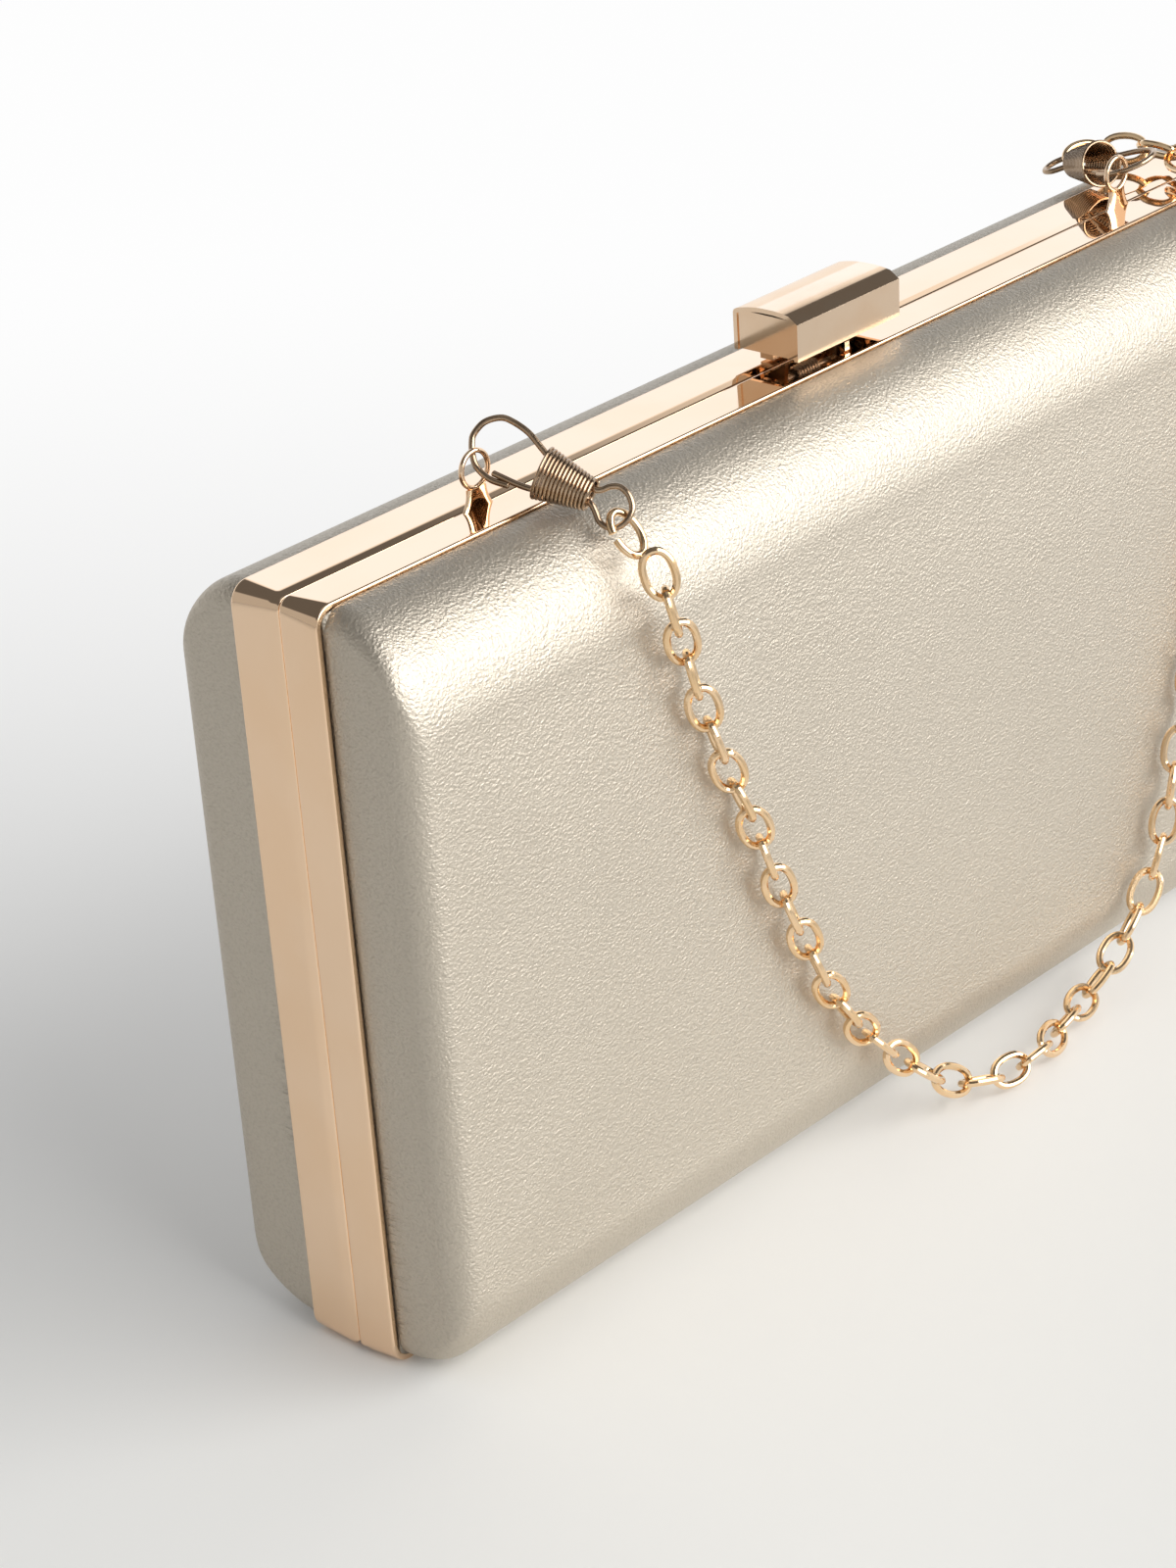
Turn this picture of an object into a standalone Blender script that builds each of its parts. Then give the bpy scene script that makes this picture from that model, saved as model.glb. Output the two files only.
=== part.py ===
"""Hard-shell evening clutch: two framed half shells, a top clasp and a chain strap.

The model is in metres with +Z up. The long side runs along X and the front
faces -Y. Heights start at the flat base. Depths below are measured from the
parting plane between the two frames, which the assembly empty carries to its
place so that the origin is at the middle of the base.
"""

import math

import bpy
import bmesh
import numpy as np
from mathutils import Vector

MM = 0.001
DEG = math.pi / 180

# Whole case
CASE_LENGTH = 222 * MM
CASE_HEIGHT = 115 * MM
SHELL_DEPTH = 14.6 * MM
SEAT_GAP = 0.3 * MM
OVERRUN = 2 * MM

# Metal frames
FRONT_RIM_DEPTH = 7 * MM
REAR_RIM_DEPTH = 9 * MM
PARTING_GAP = 0.4 * MM
RIM_CORNER_RADIUS = 2.5 * MM
BAND_THICKNESS = 1.0 * MM
RIM_EDGE_BEVEL = 0.3 * MM
WEB_THICKNESS = 1.8 * MM
WEB_REACH = 4.0 * MM
WEB_CORNER_RADIUS = 0.8 * MM
FACET_WIDTH = 2.6 * MM
FACET_DROP = 0.6 * MM
CORNER_STEPS = 6

# Half shells: how far each side draws in at the rim, the shoulders and the flat ends
TOP_INSET = 0.5 * MM
BOTTOM_INSET = 0.5 * MM
SIDE_INSET = 1.1 * MM
TOP_SHOULDER = 16.5 * MM
BOTTOM_SHOULDER = 13 * MM
END_ROUND_RADIUS = 3 * MM
LEAST_END_ROUND = 0.3 * MM
CONTOUR_RADIUS = 3.6 * MM
FACE_CROWN = 0.6 * MM
SHOULDER_STEPS = 6
CROWN_SHARES = ((0.15, 0.45), (0.40, 0.85), (0.68, 1.0))

# Layers of a half shell, as depths under the leather's surface
LEATHER_THICKNESS = 0.9 * MM
SHELL_THICKNESS = 1.4 * MM
LINING_THICKNESS = 0.7 * MM
SHELL_TUCK = 1.8 * MM
SHELL_LIP_WIDTH = 1.0 * MM

# Bottom hinges
HINGE_INSET = 41 * MM
HINGE_LENGTH = 24 * MM
HINGE_AXIS_HEIGHT = 1.5 * MM
KNUCKLE_RADIUS = 1.2 * MM
HINGE_PIN_RADIUS = 0.5 * MM
LEAF_THICKNESS = 0.6 * MM
LEAF_WIDTH = 3.4 * MM
SLOT_FLOOR_HEIGHT = 0.9 * MM
OPENING_ANGLE = 85 * DEG
RELIEF_MARGIN = 4.5 * DEG
RELIEF_LIFT = 0.3 * MM
ROUND_STEPS = 20

# Ring lugs on the front frame
LUG_INSET = 37.5 * MM
LUG_RECESS = 0.1 * MM
LUG_THICKNESS = 0.8 * MM
LUG_RING_HEIGHT = 5.6 * MM
LUG_RING_RADIUS = 2.95 * MM
LUG_HOLE_RADIUS = 2.2 * MM
LUG_NECK_WIDTH = 3.9 * MM
LUG_FOOT_WIDTH = 5.7 * MM
LUG_ANCHOR_DEPTH = 3.4 * MM

# Clasp
CLASP_LENGTH = 23.5 * MM
CLASP_DEPTH = 12.1 * MM
CLASP_RISE = 7.1 * MM
CLASP_FRONT = 6.2 * MM
CLASP_CLEARANCE = 2.1 * MM
CLASP_WALL = 0.7 * MM
CLASP_OUTLINE_SHARES = (
    (1.0, 0.0),
    (0.992, 0.817),
    (0.901, 0.930),
    (0.661, 1.0),
    (0.132, 0.958),
    (0.0, 0.817),
    (0.0165, 0.0),
)
CLASP_PIN_BACK = 3.0 * MM
CLASP_PIN_HEIGHT = 4.6 * MM
CLASP_PIN_RADIUS = 0.5 * MM
CLASP_EAR_RADIUS = 1.6 * MM
CLASP_EAR_THICKNESS = 0.8 * MM
CLASP_BASE_INSET = 0.3 * MM
CLASP_BASE_THICKNESS = 0.9 * MM
CLASP_BASE_FRONT = 1.0 * MM
CLASP_BASE_BACK = 3.4 * MM
CLASP_BASE_EAR_STEP = 2.5 * MM
LATCH_END_ROOM = 1.75 * MM
LATCH_EAR_INSET = 0.8 * MM
LATCH_THICKNESS = 0.7 * MM
LATCH_TOP_DROP = 1.5 * MM
LATCH_FRONT = 4.6 * MM
LATCH_BACK = 4.4 * MM
LATCH_EAR_BACK_SHARE = 1 / 3
LIFT_SPRING_WIRE = 0.5 * MM
LIFT_SPRING_RADIUS = 1.15 * MM
LIFT_SPRING_PITCH = 0.98 * MM
LIFT_SPRING_TURNS = 5
CATCH_WIDTH = 1.0 * MM
CATCH_HEIGHT = 1.3 * MM
CATCH_BACK = 4.5 * MM

# Wire hooks with a tapered coil sleeve
HOOK_WIRE_RADIUS = 0.45 * MM
COIL_LENGTH = 8.0 * MM
COIL_WIDE_RADIUS = 3.85 * MM
COIL_NARROW_RADIUS = 2.3 * MM
COIL_WIRE = 0.55 * MM
COIL_TURNS = 7.5
COIL_POINTS_PER_TURN = 10
HOOK_POINT_STEP = 1.0 * MM
HOOK_SEAT_SHARE = 0.3
HOOK_GRIP_SHARES = (-0.995, -0.777)
HOOK_OUTLINE_SHARES = (
    (-0.400, -0.90),
    (-0.716, -0.96),
    (-0.995, -0.777),
    (-1.150, -0.462),
    (-1.258, -0.049),
    (-1.288, 0.268),
    (-1.209, 0.779),
    (-0.995, 1.150),
    (-0.775, 1.203),
    (-0.450, 1.080),
    (-0.113, 0.753),
    (0.075, 0.587),
    (0.500, 0.390),
    (0.925, 0.255),
    (1.063, 0.312),
    (1.188, 0.571),
    (1.344, 0.694),
    (1.545, 0.540),
    (1.688, 0.156),
    (1.675, -0.338),
    (1.525, -0.727),
    (1.300, -0.727),
    (1.150, -0.468),
    (1.038, -0.286),
    (0.925, -0.255),
    (0.500, -0.390),
    (0.075, -0.571),
    (-0.100, -0.630),
    (-0.295, -0.600),
    (-0.486, -0.530),
    (-0.696, -0.510),
)
LEFT_HOOK_AXIS_SHARES = (0.371, -0.840, -0.396)
LEFT_HOOK_SIDE_SHARES = (0.611, -0.101, 0.785)
RIGHT_HOOK_AXIS_SHARES = (0.290, 0.931, -0.220)
RIGHT_HOOK_SIDE_SHARES = (0.940, -0.234, 0.250)

# Chain strap
CHAIN_WIDTH = 5.4 * MM
CHAIN_WIRE = 1.15 * MM
CHAIN_POINTS = 62
END_RING_LENGTH = 7.8 * MM
END_RING_GAP_SHARE = 0.13
END_RING_GAP_START_SHARE = 0.97
RING_STEPS = 24
LEFT_RING_HOLD_SHARES = (1.570, -0.382)
LEFT_RING_AXIS_SHARES = (-0.003, -0.620, -0.785)
LEFT_RING_SIDE_SHARES = (0.942, 0.277, -0.191)
RIGHT_RING_HOLD_SHARES = (1.325, 0.540)
RIGHT_RING_AXIS_SHARES = (0.800, -0.600, 0.0)
RIGHT_RING_SIDE_SHARES = (0.300, 0.400, 0.866)
CHAIN_ROUTE = tuple(
    (x * MM, y * MM, z * MM)
    for x, y, z in (
        (-64.9, -24.5, 109.2),
        (-63.6, -25.5, 102.6),
        (-60.5, -24.8, 94.7),
        (-57.0, -24.8, 83.6),
        (-52.9, -24.9, 72.6),
        (-48.6, -24.9, 63.2),
        (-44.1, -24.9, 51.9),
        (-39.3, -24.9, 41.5),
        (-34.8, -24.9, 32.0),
        (-29.1, -24.7, 23.5),
        (-24.3, -24.6, 18.1),
        (-17.4, -25.5, 11.1),
        (-11.5, -27.1, 6.3),
        (-5.4, -28.9, 3.6),
        (3.3, -30.4, 3.0),
        (11.7, -29.6, 3.0),
        (18.3, -27.8, 3.0),
        (25.8, -26.3, 3.6),
        (34.5, -25.3, 6.5),
        (42.9, -24.3, 11.6),
        (47.6, -24.5, 17.5),
        (50.3, -24.7, 24.7),
        (52.9, -24.8, 33.2),
        (57.3, -24.9, 45.2),
        (63.4, -24.9, 58.2),
        (70.2, -24.9, 71.2),
        (77.2, -24.8, 84.2),
        (83.2, -24.4, 96.0),
        (86.0, -23.0, 105.2),
        (86.8, -18.8, 112.6),
        (86.6, -12.6, 117.0),
        (88.2, -6.0, 118.3),
        (91.0, 0.0, 118.4),
        (92.2, 5.5, 118.4),
        (90.2, 11.8, 118.1),
    )
)

# Places that follow from the sizes
HALF_LENGTH = CASE_LENGTH / 2
PARTING_PLACE = (FRONT_RIM_DEPTH - REAR_RIM_DEPTH) / 2
PARTING_HALF_GAP = PARTING_GAP / 2
HINGE_SPACING = CASE_LENGTH - 2 * HINGE_INSET
LUG_SPACING = CASE_LENGTH - 2 * LUG_INSET
RELIEF_ANGLE = OPENING_ANGLE / 2 + RELIEF_MARGIN
HINGE_PLACE = Vector((0, 0, HINGE_AXIS_HEIGHT))
CLASP_PLACE = Vector((0, CLASP_PIN_BACK, CASE_HEIGHT + CLASP_PIN_HEIGHT))
SHELL_OFFSET = LEATHER_THICKNESS + SEAT_GAP
LINING_OFFSET = SHELL_OFFSET + SHELL_THICKNESS + SEAT_GAP
PIN_HOLE_CLEARANCE = SEAT_GAP
FRONT, REAR = -1, 1
LEFT, RIGHT = -1, 1

COLOURS = {
    "rose_gold": ((0.86, 0.58, 0.42, 1), 0.16, 1.0),
    "pewter_leather": ((0.62, 0.58, 0.50, 1), 0.38, 0.7),
    "case_shell": ((0.32, 0.31, 0.30, 1), 0.55, 0.0),
    "lining_fabric": ((0.47, 0.41, 0.36, 1), 0.85, 0.0),
    "bronze_wire": ((0.42, 0.31, 0.23, 1), 0.22, 1.0),
    "hinge_brass": ((0.72, 0.53, 0.36, 1), 0.30, 1.0),
    "spring_steel": ((0.55, 0.55, 0.56, 1), 0.30, 1.0),
}


def material(name, finish):
    """Give one piece its own Principled material in a named finish."""
    colour, roughness, metallic = COLOURS[finish]
    result = bpy.data.materials.new(name)
    result.use_nodes = True
    shader = result.node_tree.nodes["Principled BSDF"]
    shader.inputs["Base Color"].default_value = colour
    shader.inputs["Roughness"].default_value = roughness
    shader.inputs["Metallic"].default_value = metallic
    return result


def make_empty(name, place, parent):
    """Add an empty that carries pieces, at a place given from the parting plane."""
    empty = bpy.data.objects.new(name, None)
    empty["origin"] = list(place)
    empty.parent = parent
    offset = Vector(parent["origin"]) if parent else Vector()
    empty.location = Vector(place) - offset
    bpy.context.scene.collection.objects.link(empty)
    return empty


def link(name, data, carrier):
    """Link data as an object whose origin is its carrier's."""
    piece = bpy.data.objects.new(name, data)
    piece.parent = carrier
    bpy.context.scene.collection.objects.link(piece)
    return piece


def finish_mesh(name, mesh, carrier, finish):
    """Close up a mesh built from the parting plane and hang it on its carrier."""
    bmesh.ops.remove_doubles(mesh, verts=mesh.verts, dist=0.1 * MM * MM)
    bmesh.ops.recalc_face_normals(mesh, faces=mesh.faces)
    bmesh.ops.translate(mesh, vec=-Vector(carrier["origin"]), verts=mesh.verts)
    data = bpy.data.meshes.new(name)
    mesh.to_mesh(data)
    mesh.free()
    data.shade_smooth()
    data.set_sharp_from_angle(angle=30 * DEG)
    if finish:
        data.materials.append(material(name, finish))
    return link(name, data, carrier)


def make_cutter(piece):
    """Keep a helper solid out of the model: it only shapes other pieces."""
    piece.hide_render = True
    piece.display_type = "WIRE"
    return piece


def combine(piece, helper, operation):
    """Cut or join a piece with a helper solid."""
    modifier = piece.modifiers.new(helper.name, "BOOLEAN")
    modifier.operation = operation
    modifier.solver = "EXACT"
    modifier.object = helper
    return modifier


def skin(rings, closed):
    """Join rings of equal count into one closed surface, with end faces if open."""
    mesh = bmesh.new()
    loops = [[mesh.verts.new(point) for point in ring] for ring in rings]
    pairs = list(zip(loops, loops[1:]))
    if closed:
        pairs.append((loops[-1], loops[0]))
    for one, two in pairs:
        for index in range(len(one)):
            after = (index + 1) % len(one)
            mesh.faces.new((one[index], one[after], two[after], two[index]))
    if not closed:
        mesh.faces.new(loops[0])
        mesh.faces.new(loops[-1])
    return mesh


def prism(outline, low, high, place):
    """Extrude a flat outline; place turns an outline point and a height into a position."""
    mesh = bmesh.new()
    base = mesh.faces.new([mesh.verts.new(place(a, b, low)) for a, b in outline])
    grown = bmesh.ops.extrude_face_region(mesh, geom=[base])["geom"]
    top = [item for item in grown if isinstance(item, bmesh.types.BMVert)]
    start = Vector(place(0, 0, low))
    bmesh.ops.translate(mesh, vec=Vector(place(0, 0, high)) - start, verts=top)
    return mesh


def along_x(y, z, x):
    """Place an outline in the YZ plane, extruded along X."""
    return Vector((x, y, z))


def along_y(x, z, y):
    """Place an outline in the XZ plane, extruded along Y."""
    return Vector((x, y, z))


def along_z(x, y, z):
    """Place an outline in the XY plane, extruded along Z."""
    return Vector((x, y, z))


def rectangle(low_a, high_a, low_b, high_b):
    """Corners of a flat box outline."""
    return ((low_a, low_b), (high_a, low_b), (high_a, high_b), (low_a, high_b))


def arc(centre, radius, start, end, steps):
    """Points on a circular arc, both ends included."""
    angles = np.linspace(start, end, steps + 1)
    return [
        (centre[0] + radius * math.cos(angle), centre[1] + radius * math.sin(angle))
        for angle in angles
    ]


def circle(centre, radius):
    """Outline of a full circle."""
    return arc(centre, radius, 0, 2 * math.pi, ROUND_STEPS)[:-1]


def contour(side_inset, low_inset, high_inset, radius, y):
    """Rounded rectangle drawn in from the case's outline, at one depth."""
    half = HALF_LENGTH - side_inset
    low, high = low_inset, CASE_HEIGHT - high_inset
    corners = (
        (half - radius, low + radius, -90 * DEG),
        (half - radius, high - radius, 0),
        (radius - half, high - radius, 90 * DEG),
        (radius - half, low + radius, 180 * DEG),
    )
    points = []
    for x, z, start in corners:
        points += arc((x, z), radius, start, start + 90 * DEG, CORNER_STEPS)
    return [Vector((x, y, z)) for x, z in points]


def rim_ring(inset, y):
    """Contour of a frame at an even distance inside its outer face."""
    radius = max(RIM_CORNER_RADIUS - inset, WEB_CORNER_RADIUS)
    return contour(inset, inset, inset, radius, y)


def end_round(offset):
    """Radius between a layer's flat end and its face."""
    return max(END_ROUND_RADIUS - offset, LEAST_END_ROUND)


def shell_ring(offset, turn, y_rim, side):
    """Contour of a shell layer, a quarter turn taking it from the rim to the face."""
    swell = 1 - math.cos(turn)
    full = SHELL_DEPTH - FACE_CROWN - offset
    depth = full * math.sin(turn)
    radius = end_round(offset)
    share = min(max(1 + (depth - full) / radius, 0), 1)
    return contour(
        SIDE_INSET + offset + radius * (1 - math.sqrt(1 - share**2)),
        BOTTOM_INSET + offset + (BOTTOM_SHOULDER - offset) * swell,
        TOP_INSET + offset + (TOP_SHOULDER - offset) * swell,
        max(CONTOUR_RADIUS - offset, WEB_CORNER_RADIUS),
        side * (y_rim + depth),
    )


def crown_ring(offset, reach_share, rise_share, y_rim, side):
    """Contour on the slightly domed face, part of the way to its middle."""
    low = BOTTOM_INSET + BOTTOM_SHOULDER
    high = TOP_INSET + TOP_SHOULDER
    reach = (CASE_HEIGHT - low - high) / 2 * reach_share
    depth = SHELL_DEPTH - FACE_CROWN - offset + FACE_CROWN * rise_share
    return contour(
        SIDE_INSET + offset + end_round(offset) + reach,
        low + reach,
        high + reach,
        CONTOUR_RADIUS * (1 - reach_share),
        side * (y_rim + depth),
    )


def bowl(offset, y_rim, side):
    """Rings of one shell surface from its rim to the middle of the face."""
    turns = np.linspace(0, math.pi / 2, SHOULDER_STEPS + 1)
    rings = [shell_ring(offset, turn, y_rim, side) for turn in turns]
    rings += [crown_ring(offset, *shares, y_rim, side) for shares in CROWN_SHARES]
    return rings


def half_layer(name, carrier, side, finish, outer, inner, lip=(), inner_lip=()):
    """Make one layer of a half: a tray with an outer and an inner surface."""
    depth = FRONT_RIM_DEPTH if side == FRONT else REAR_RIM_DEPTH
    edge = depth + (SEAT_GAP if not lip else 0)
    out_rings = list(lip) + bowl(outer, edge, side)
    in_rings = list(inner_lip) + bowl(inner, edge, side)
    mesh = skin(out_rings[::-1] + in_rings, closed=False)
    return finish_mesh(name, mesh, carrier, finish)


def make_half_layers(word, carrier, side):
    """Make the leather, the stiff shell and the lining of one half."""
    rim = FRONT_RIM_DEPTH if side == FRONT else REAR_RIM_DEPTH
    half_layer(word + "_leather", carrier, side, "pewter_leather", 0, LEATHER_THICKNESS)

    edge = rim - SHELL_TUCK
    snug = BAND_THICKNESS + SEAT_GAP
    inner = SHELL_OFFSET + SHELL_THICKNESS
    lip = [rim_ring(snug, side * y) for y in (edge, edge + SHELL_LIP_WIDTH)]
    inner_lip = [rim_ring(snug + SHELL_THICKNESS, side * edge)]
    half_layer(word + "_shell", carrier, side, "case_shell", SHELL_OFFSET, inner, lip, inner_lip)

    mouth = side * (PARTING_HALF_GAP + WEB_THICKNESS + SEAT_GAP)
    back = LINING_OFFSET + LINING_THICKNESS
    lips = []
    for offset in (LINING_OFFSET, back):
        ring = shell_ring(offset, 0, rim, side)
        lips.append([[Vector((point.x, mouth, point.z)) for point in ring]])
    half_layer(
        word + "_lining", carrier, side, "lining_fabric", LINING_OFFSET, back, lips[0], lips[1]
    )


def make_frame(name, carrier, side):
    """Make one metal frame: an outer band with a web along the parting plane."""
    depth = FRONT_RIM_DEPTH if side == FRONT else REAR_RIM_DEPTH
    front = PARTING_HALF_GAP
    web = front + WEB_THICKNESS
    profile = [(0, front)]
    if side == REAR:
        profile = [(FACET_DROP, front), (0, front + FACET_WIDTH)]
    profile += [
        (0, depth - RIM_EDGE_BEVEL),
        (RIM_EDGE_BEVEL, depth),
        (BAND_THICKNESS - RIM_EDGE_BEVEL, depth),
        (BAND_THICKNESS, depth - RIM_EDGE_BEVEL),
        (BAND_THICKNESS, web),
        (WEB_REACH, web),
        (WEB_REACH, front),
    ]
    rings = [rim_ring(inset, side * y) for inset, y in profile]
    return finish_mesh(name, skin(rings, closed=True), carrier, "rose_gold")


def hinge_spans():
    """Share a hinge's length out among its three knuckles, with running gaps."""
    knuckle = (HINGE_LENGTH - 2 * SEAT_GAP) / 3
    starts = [-HINGE_LENGTH / 2 + index * (knuckle + SEAT_GAP) for index in range(3)]
    return [(start, start + knuckle) for start in starts]


def make_leaf(name, carrier, centre, side, spans):
    """Make a hinge leaf: a plate soldered to its frame, with rolled knuckles."""
    axis = (0, HINGE_AXIS_HEIGHT)
    low = SLOT_FLOOR_HEIGHT + SEAT_GAP
    high = low + LEAF_THICKNESS
    near = KNUCKLE_RADIUS + SEAT_GAP
    plate = rectangle(*sorted((side * near, side * (near + LEAF_WIDTH))), low, high)
    ends = (centre - HINGE_LENGTH / 2, centre + HINGE_LENGTH / 2)
    leaf = finish_mesh(name, prism(plate, *ends, along_x), carrier, "hinge_brass")
    root_angle = math.asin((low - HINGE_AXIS_HEIGHT) / KNUCKLE_RADIUS)
    tip_angle = math.asin((high - HINGE_AXIS_HEIGHT) / KNUCKLE_RADIUS)
    roll = arc(axis, KNUCKLE_RADIUS, tip_angle, 2 * math.pi + root_angle, ROUND_STEPS)
    outline = roll + [(near + LEAF_WIDTH / 2, low), (near + LEAF_WIDTH / 2, high)]
    for index, (start, end) in enumerate(spans):
        points = [(side * y, z) for y, z in outline]
        mesh = prism(points, centre + start, centre + end, along_x)
        knuckle = make_cutter(finish_mesh(name + f"_knuckle_{index}", mesh, carrier, None))
        combine(leaf, knuckle, "UNION")
    bore = circle(axis, HINGE_PIN_RADIUS + PIN_HOLE_CLEARANCE)
    mesh = prism(bore, ends[0] - OVERRUN, ends[1] + OVERRUN, along_x)
    combine(leaf, make_cutter(finish_mesh(name + "_bore", mesh, carrier, None)), "DIFFERENCE")
    return leaf


def make_hinge(word, front, rear, frames, centre):
    """Make one hinge and cut its seat into both frames."""
    spans = hinge_spans()
    make_leaf(word + "_hinge_leaf_front", front, centre, FRONT, spans[::2])
    make_leaf(word + "_hinge_leaf_rear", rear, centre, REAR, spans[1:2])
    reach = HINGE_LENGTH / 2
    pin = circle((0, HINGE_AXIS_HEIGHT), HINGE_PIN_RADIUS)
    mesh = prism(pin, centre - reach, centre + reach, along_x)
    finish_mesh(word + "_hinge_pin", mesh, front, "spring_steel")

    room = (centre - reach - SEAT_GAP, centre + reach + SEAT_GAP)
    pocket = circle((0, HINGE_AXIS_HEIGHT), KNUCKLE_RADIUS + SEAT_GAP)
    ceiling = SLOT_FLOOR_HEIGHT + LEAF_THICKNESS + 2 * SEAT_GAP
    slot_reach = KNUCKLE_RADIUS + SEAT_GAP + LEAF_WIDTH + SEAT_GAP
    slot = rectangle(-slot_reach, slot_reach, SLOT_FLOOR_HEIGHT, ceiling)
    for frame, carrier in zip(frames, (front, rear)):
        for kind, outline in (("pocket", pocket), ("slot", slot)):
            name = f"{frame.name}_{word}_hinge_{kind}"
            helper = finish_mesh(name, prism(outline, *room, along_x), carrier, None)
            combine(frame, make_cutter(helper), "DIFFERENCE")


def make_bottom_relief(frames, carriers):
    """Cut the groove along the bottom that lets the frames swing apart."""
    tip = HINGE_AXIS_HEIGHT + RELIEF_LIFT
    drop = tip + OVERRUN
    spread = drop * math.tan(RELIEF_ANGLE)
    outline = ((0, tip), (-spread, -OVERRUN), (spread, -OVERRUN))
    reach = HALF_LENGTH + OVERRUN
    for frame, carrier in zip(frames, carriers):
        mesh = prism(outline, -reach, reach, along_x)
        helper = finish_mesh(frame.name + "_relief", mesh, carrier, None)
        combine(frame, make_cutter(helper), "DIFFERENCE")


def lug_centre(side):
    """Middle of a lug's ring."""
    back = PARTING_HALF_GAP + LUG_RECESS + LUG_THICKNESS / 2
    return Vector((side * LUG_SPACING / 2, -back, CASE_HEIGHT + LUG_RING_HEIGHT))


def make_lug(word, carrier, frame, side):
    """Make a ring lug soldered into a pocket of the front frame."""
    centre = lug_centre(side)
    ring = CASE_HEIGHT + LUG_RING_HEIGHT
    neck = math.asin(LUG_NECK_WIDTH / 2 / LUG_RING_RADIUS)
    round_part = arc((0, ring), LUG_RING_RADIUS, neck - 90 * DEG, 270 * DEG - neck, ROUND_STEPS)
    foot = LUG_FOOT_WIDTH / 2
    base = CASE_HEIGHT - LUG_ANCHOR_DEPTH
    outline = round_part + [(-foot, CASE_HEIGHT), (-foot, base), (foot, base), (foot, CASE_HEIGHT)]
    points = [(centre.x + x, z) for x, z in outline]
    thick = (centre.y - LUG_THICKNESS / 2, centre.y + LUG_THICKNESS / 2)
    lug = finish_mesh(word + "_lug", prism(points, *thick, along_y), carrier, "rose_gold")
    hole = circle((centre.x, ring), LUG_HOLE_RADIUS)
    mesh = prism(hole, thick[0] - OVERRUN, thick[1] + OVERRUN, along_y)
    combine(lug, make_cutter(finish_mesh(word + "_lug_hole", mesh, carrier, None)), "DIFFERENCE")

    wide = foot + SEAT_GAP
    seat = rectangle(centre.x - wide, centre.x + wide, base - SEAT_GAP, CASE_HEIGHT + OVERRUN)
    mesh = prism(seat, thick[0] - SEAT_GAP, OVERRUN, along_y)
    helper = finish_mesh(word + "_lug_seat", mesh, carrier, None)
    combine(frame, make_cutter(helper), "DIFFERENCE")


def clasp_outline(wall):
    """Side outline of the clasp block, drawn in evenly by a wall."""
    base = CASE_HEIGHT + CLASP_CLEARANCE
    points = [
        Vector((share_y * CLASP_DEPTH - CLASP_FRONT, base + share_z * CLASP_RISE))
        for share_y, share_z in CLASP_OUTLINE_SHARES
    ]
    if not wall:
        return [tuple(point) for point in points]
    lines = []
    for one, two in zip(points, points[1:]):
        run = (two - one).normalized()
        inward = Vector((-run.y, run.x)) * wall
        lines.append((one + inward, run))
    result = [tuple(lines[0][0] - lines[0][1] * OVERRUN)]
    for (one, run), (two, turn) in zip(lines, lines[1:]):
        gap = two - one
        reach = (gap.x * turn.y - gap.y * turn.x) / (run.x * turn.y - run.y * turn.x)
        result.append(tuple(one + run * reach))
    last = points[-1] + (lines[-1][0] - points[-2])
    result.append(tuple(last + lines[-1][1] * OVERRUN))
    return result


def ear_outline(foot_low, foot_high, foot_height):
    """Outline of an ear: a round eye round the clasp's pin over a straight foot."""
    eye = (CLASP_PLACE.y, CLASP_PLACE.z)
    upward = foot_height < eye[1]
    start, end = (0, math.pi) if upward else (math.pi, 2 * math.pi)
    points = arc(eye, CLASP_EAR_RADIUS, start, end, ROUND_STEPS // 2)
    feet = [(foot_low, foot_height), (foot_high, foot_height)]
    return points + (feet if upward else feet[::-1])


def add_ears(piece, carrier, spacing, outline):
    """Join a pair of ears to a clasp plate and bore them for the pin."""
    for index, side in enumerate((LEFT, RIGHT)):
        middle = side * spacing / 2
        span = (middle - CLASP_EAR_THICKNESS / 2, middle + CLASP_EAR_THICKNESS / 2)
        mesh = prism(outline, *span, along_x)
        ear = make_cutter(finish_mesh(piece.name + f"_ear_{index}", mesh, carrier, None))
        combine(piece, ear, "UNION")
    bore = circle((CLASP_PLACE.y, CLASP_PLACE.z), CLASP_PIN_RADIUS + PIN_HOLE_CLEARANCE)
    mesh = prism(bore, -spacing, spacing, along_x)
    combine(piece, make_cutter(finish_mesh(piece.name + "_bore", mesh, carrier, None)), "DIFFERENCE")


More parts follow.
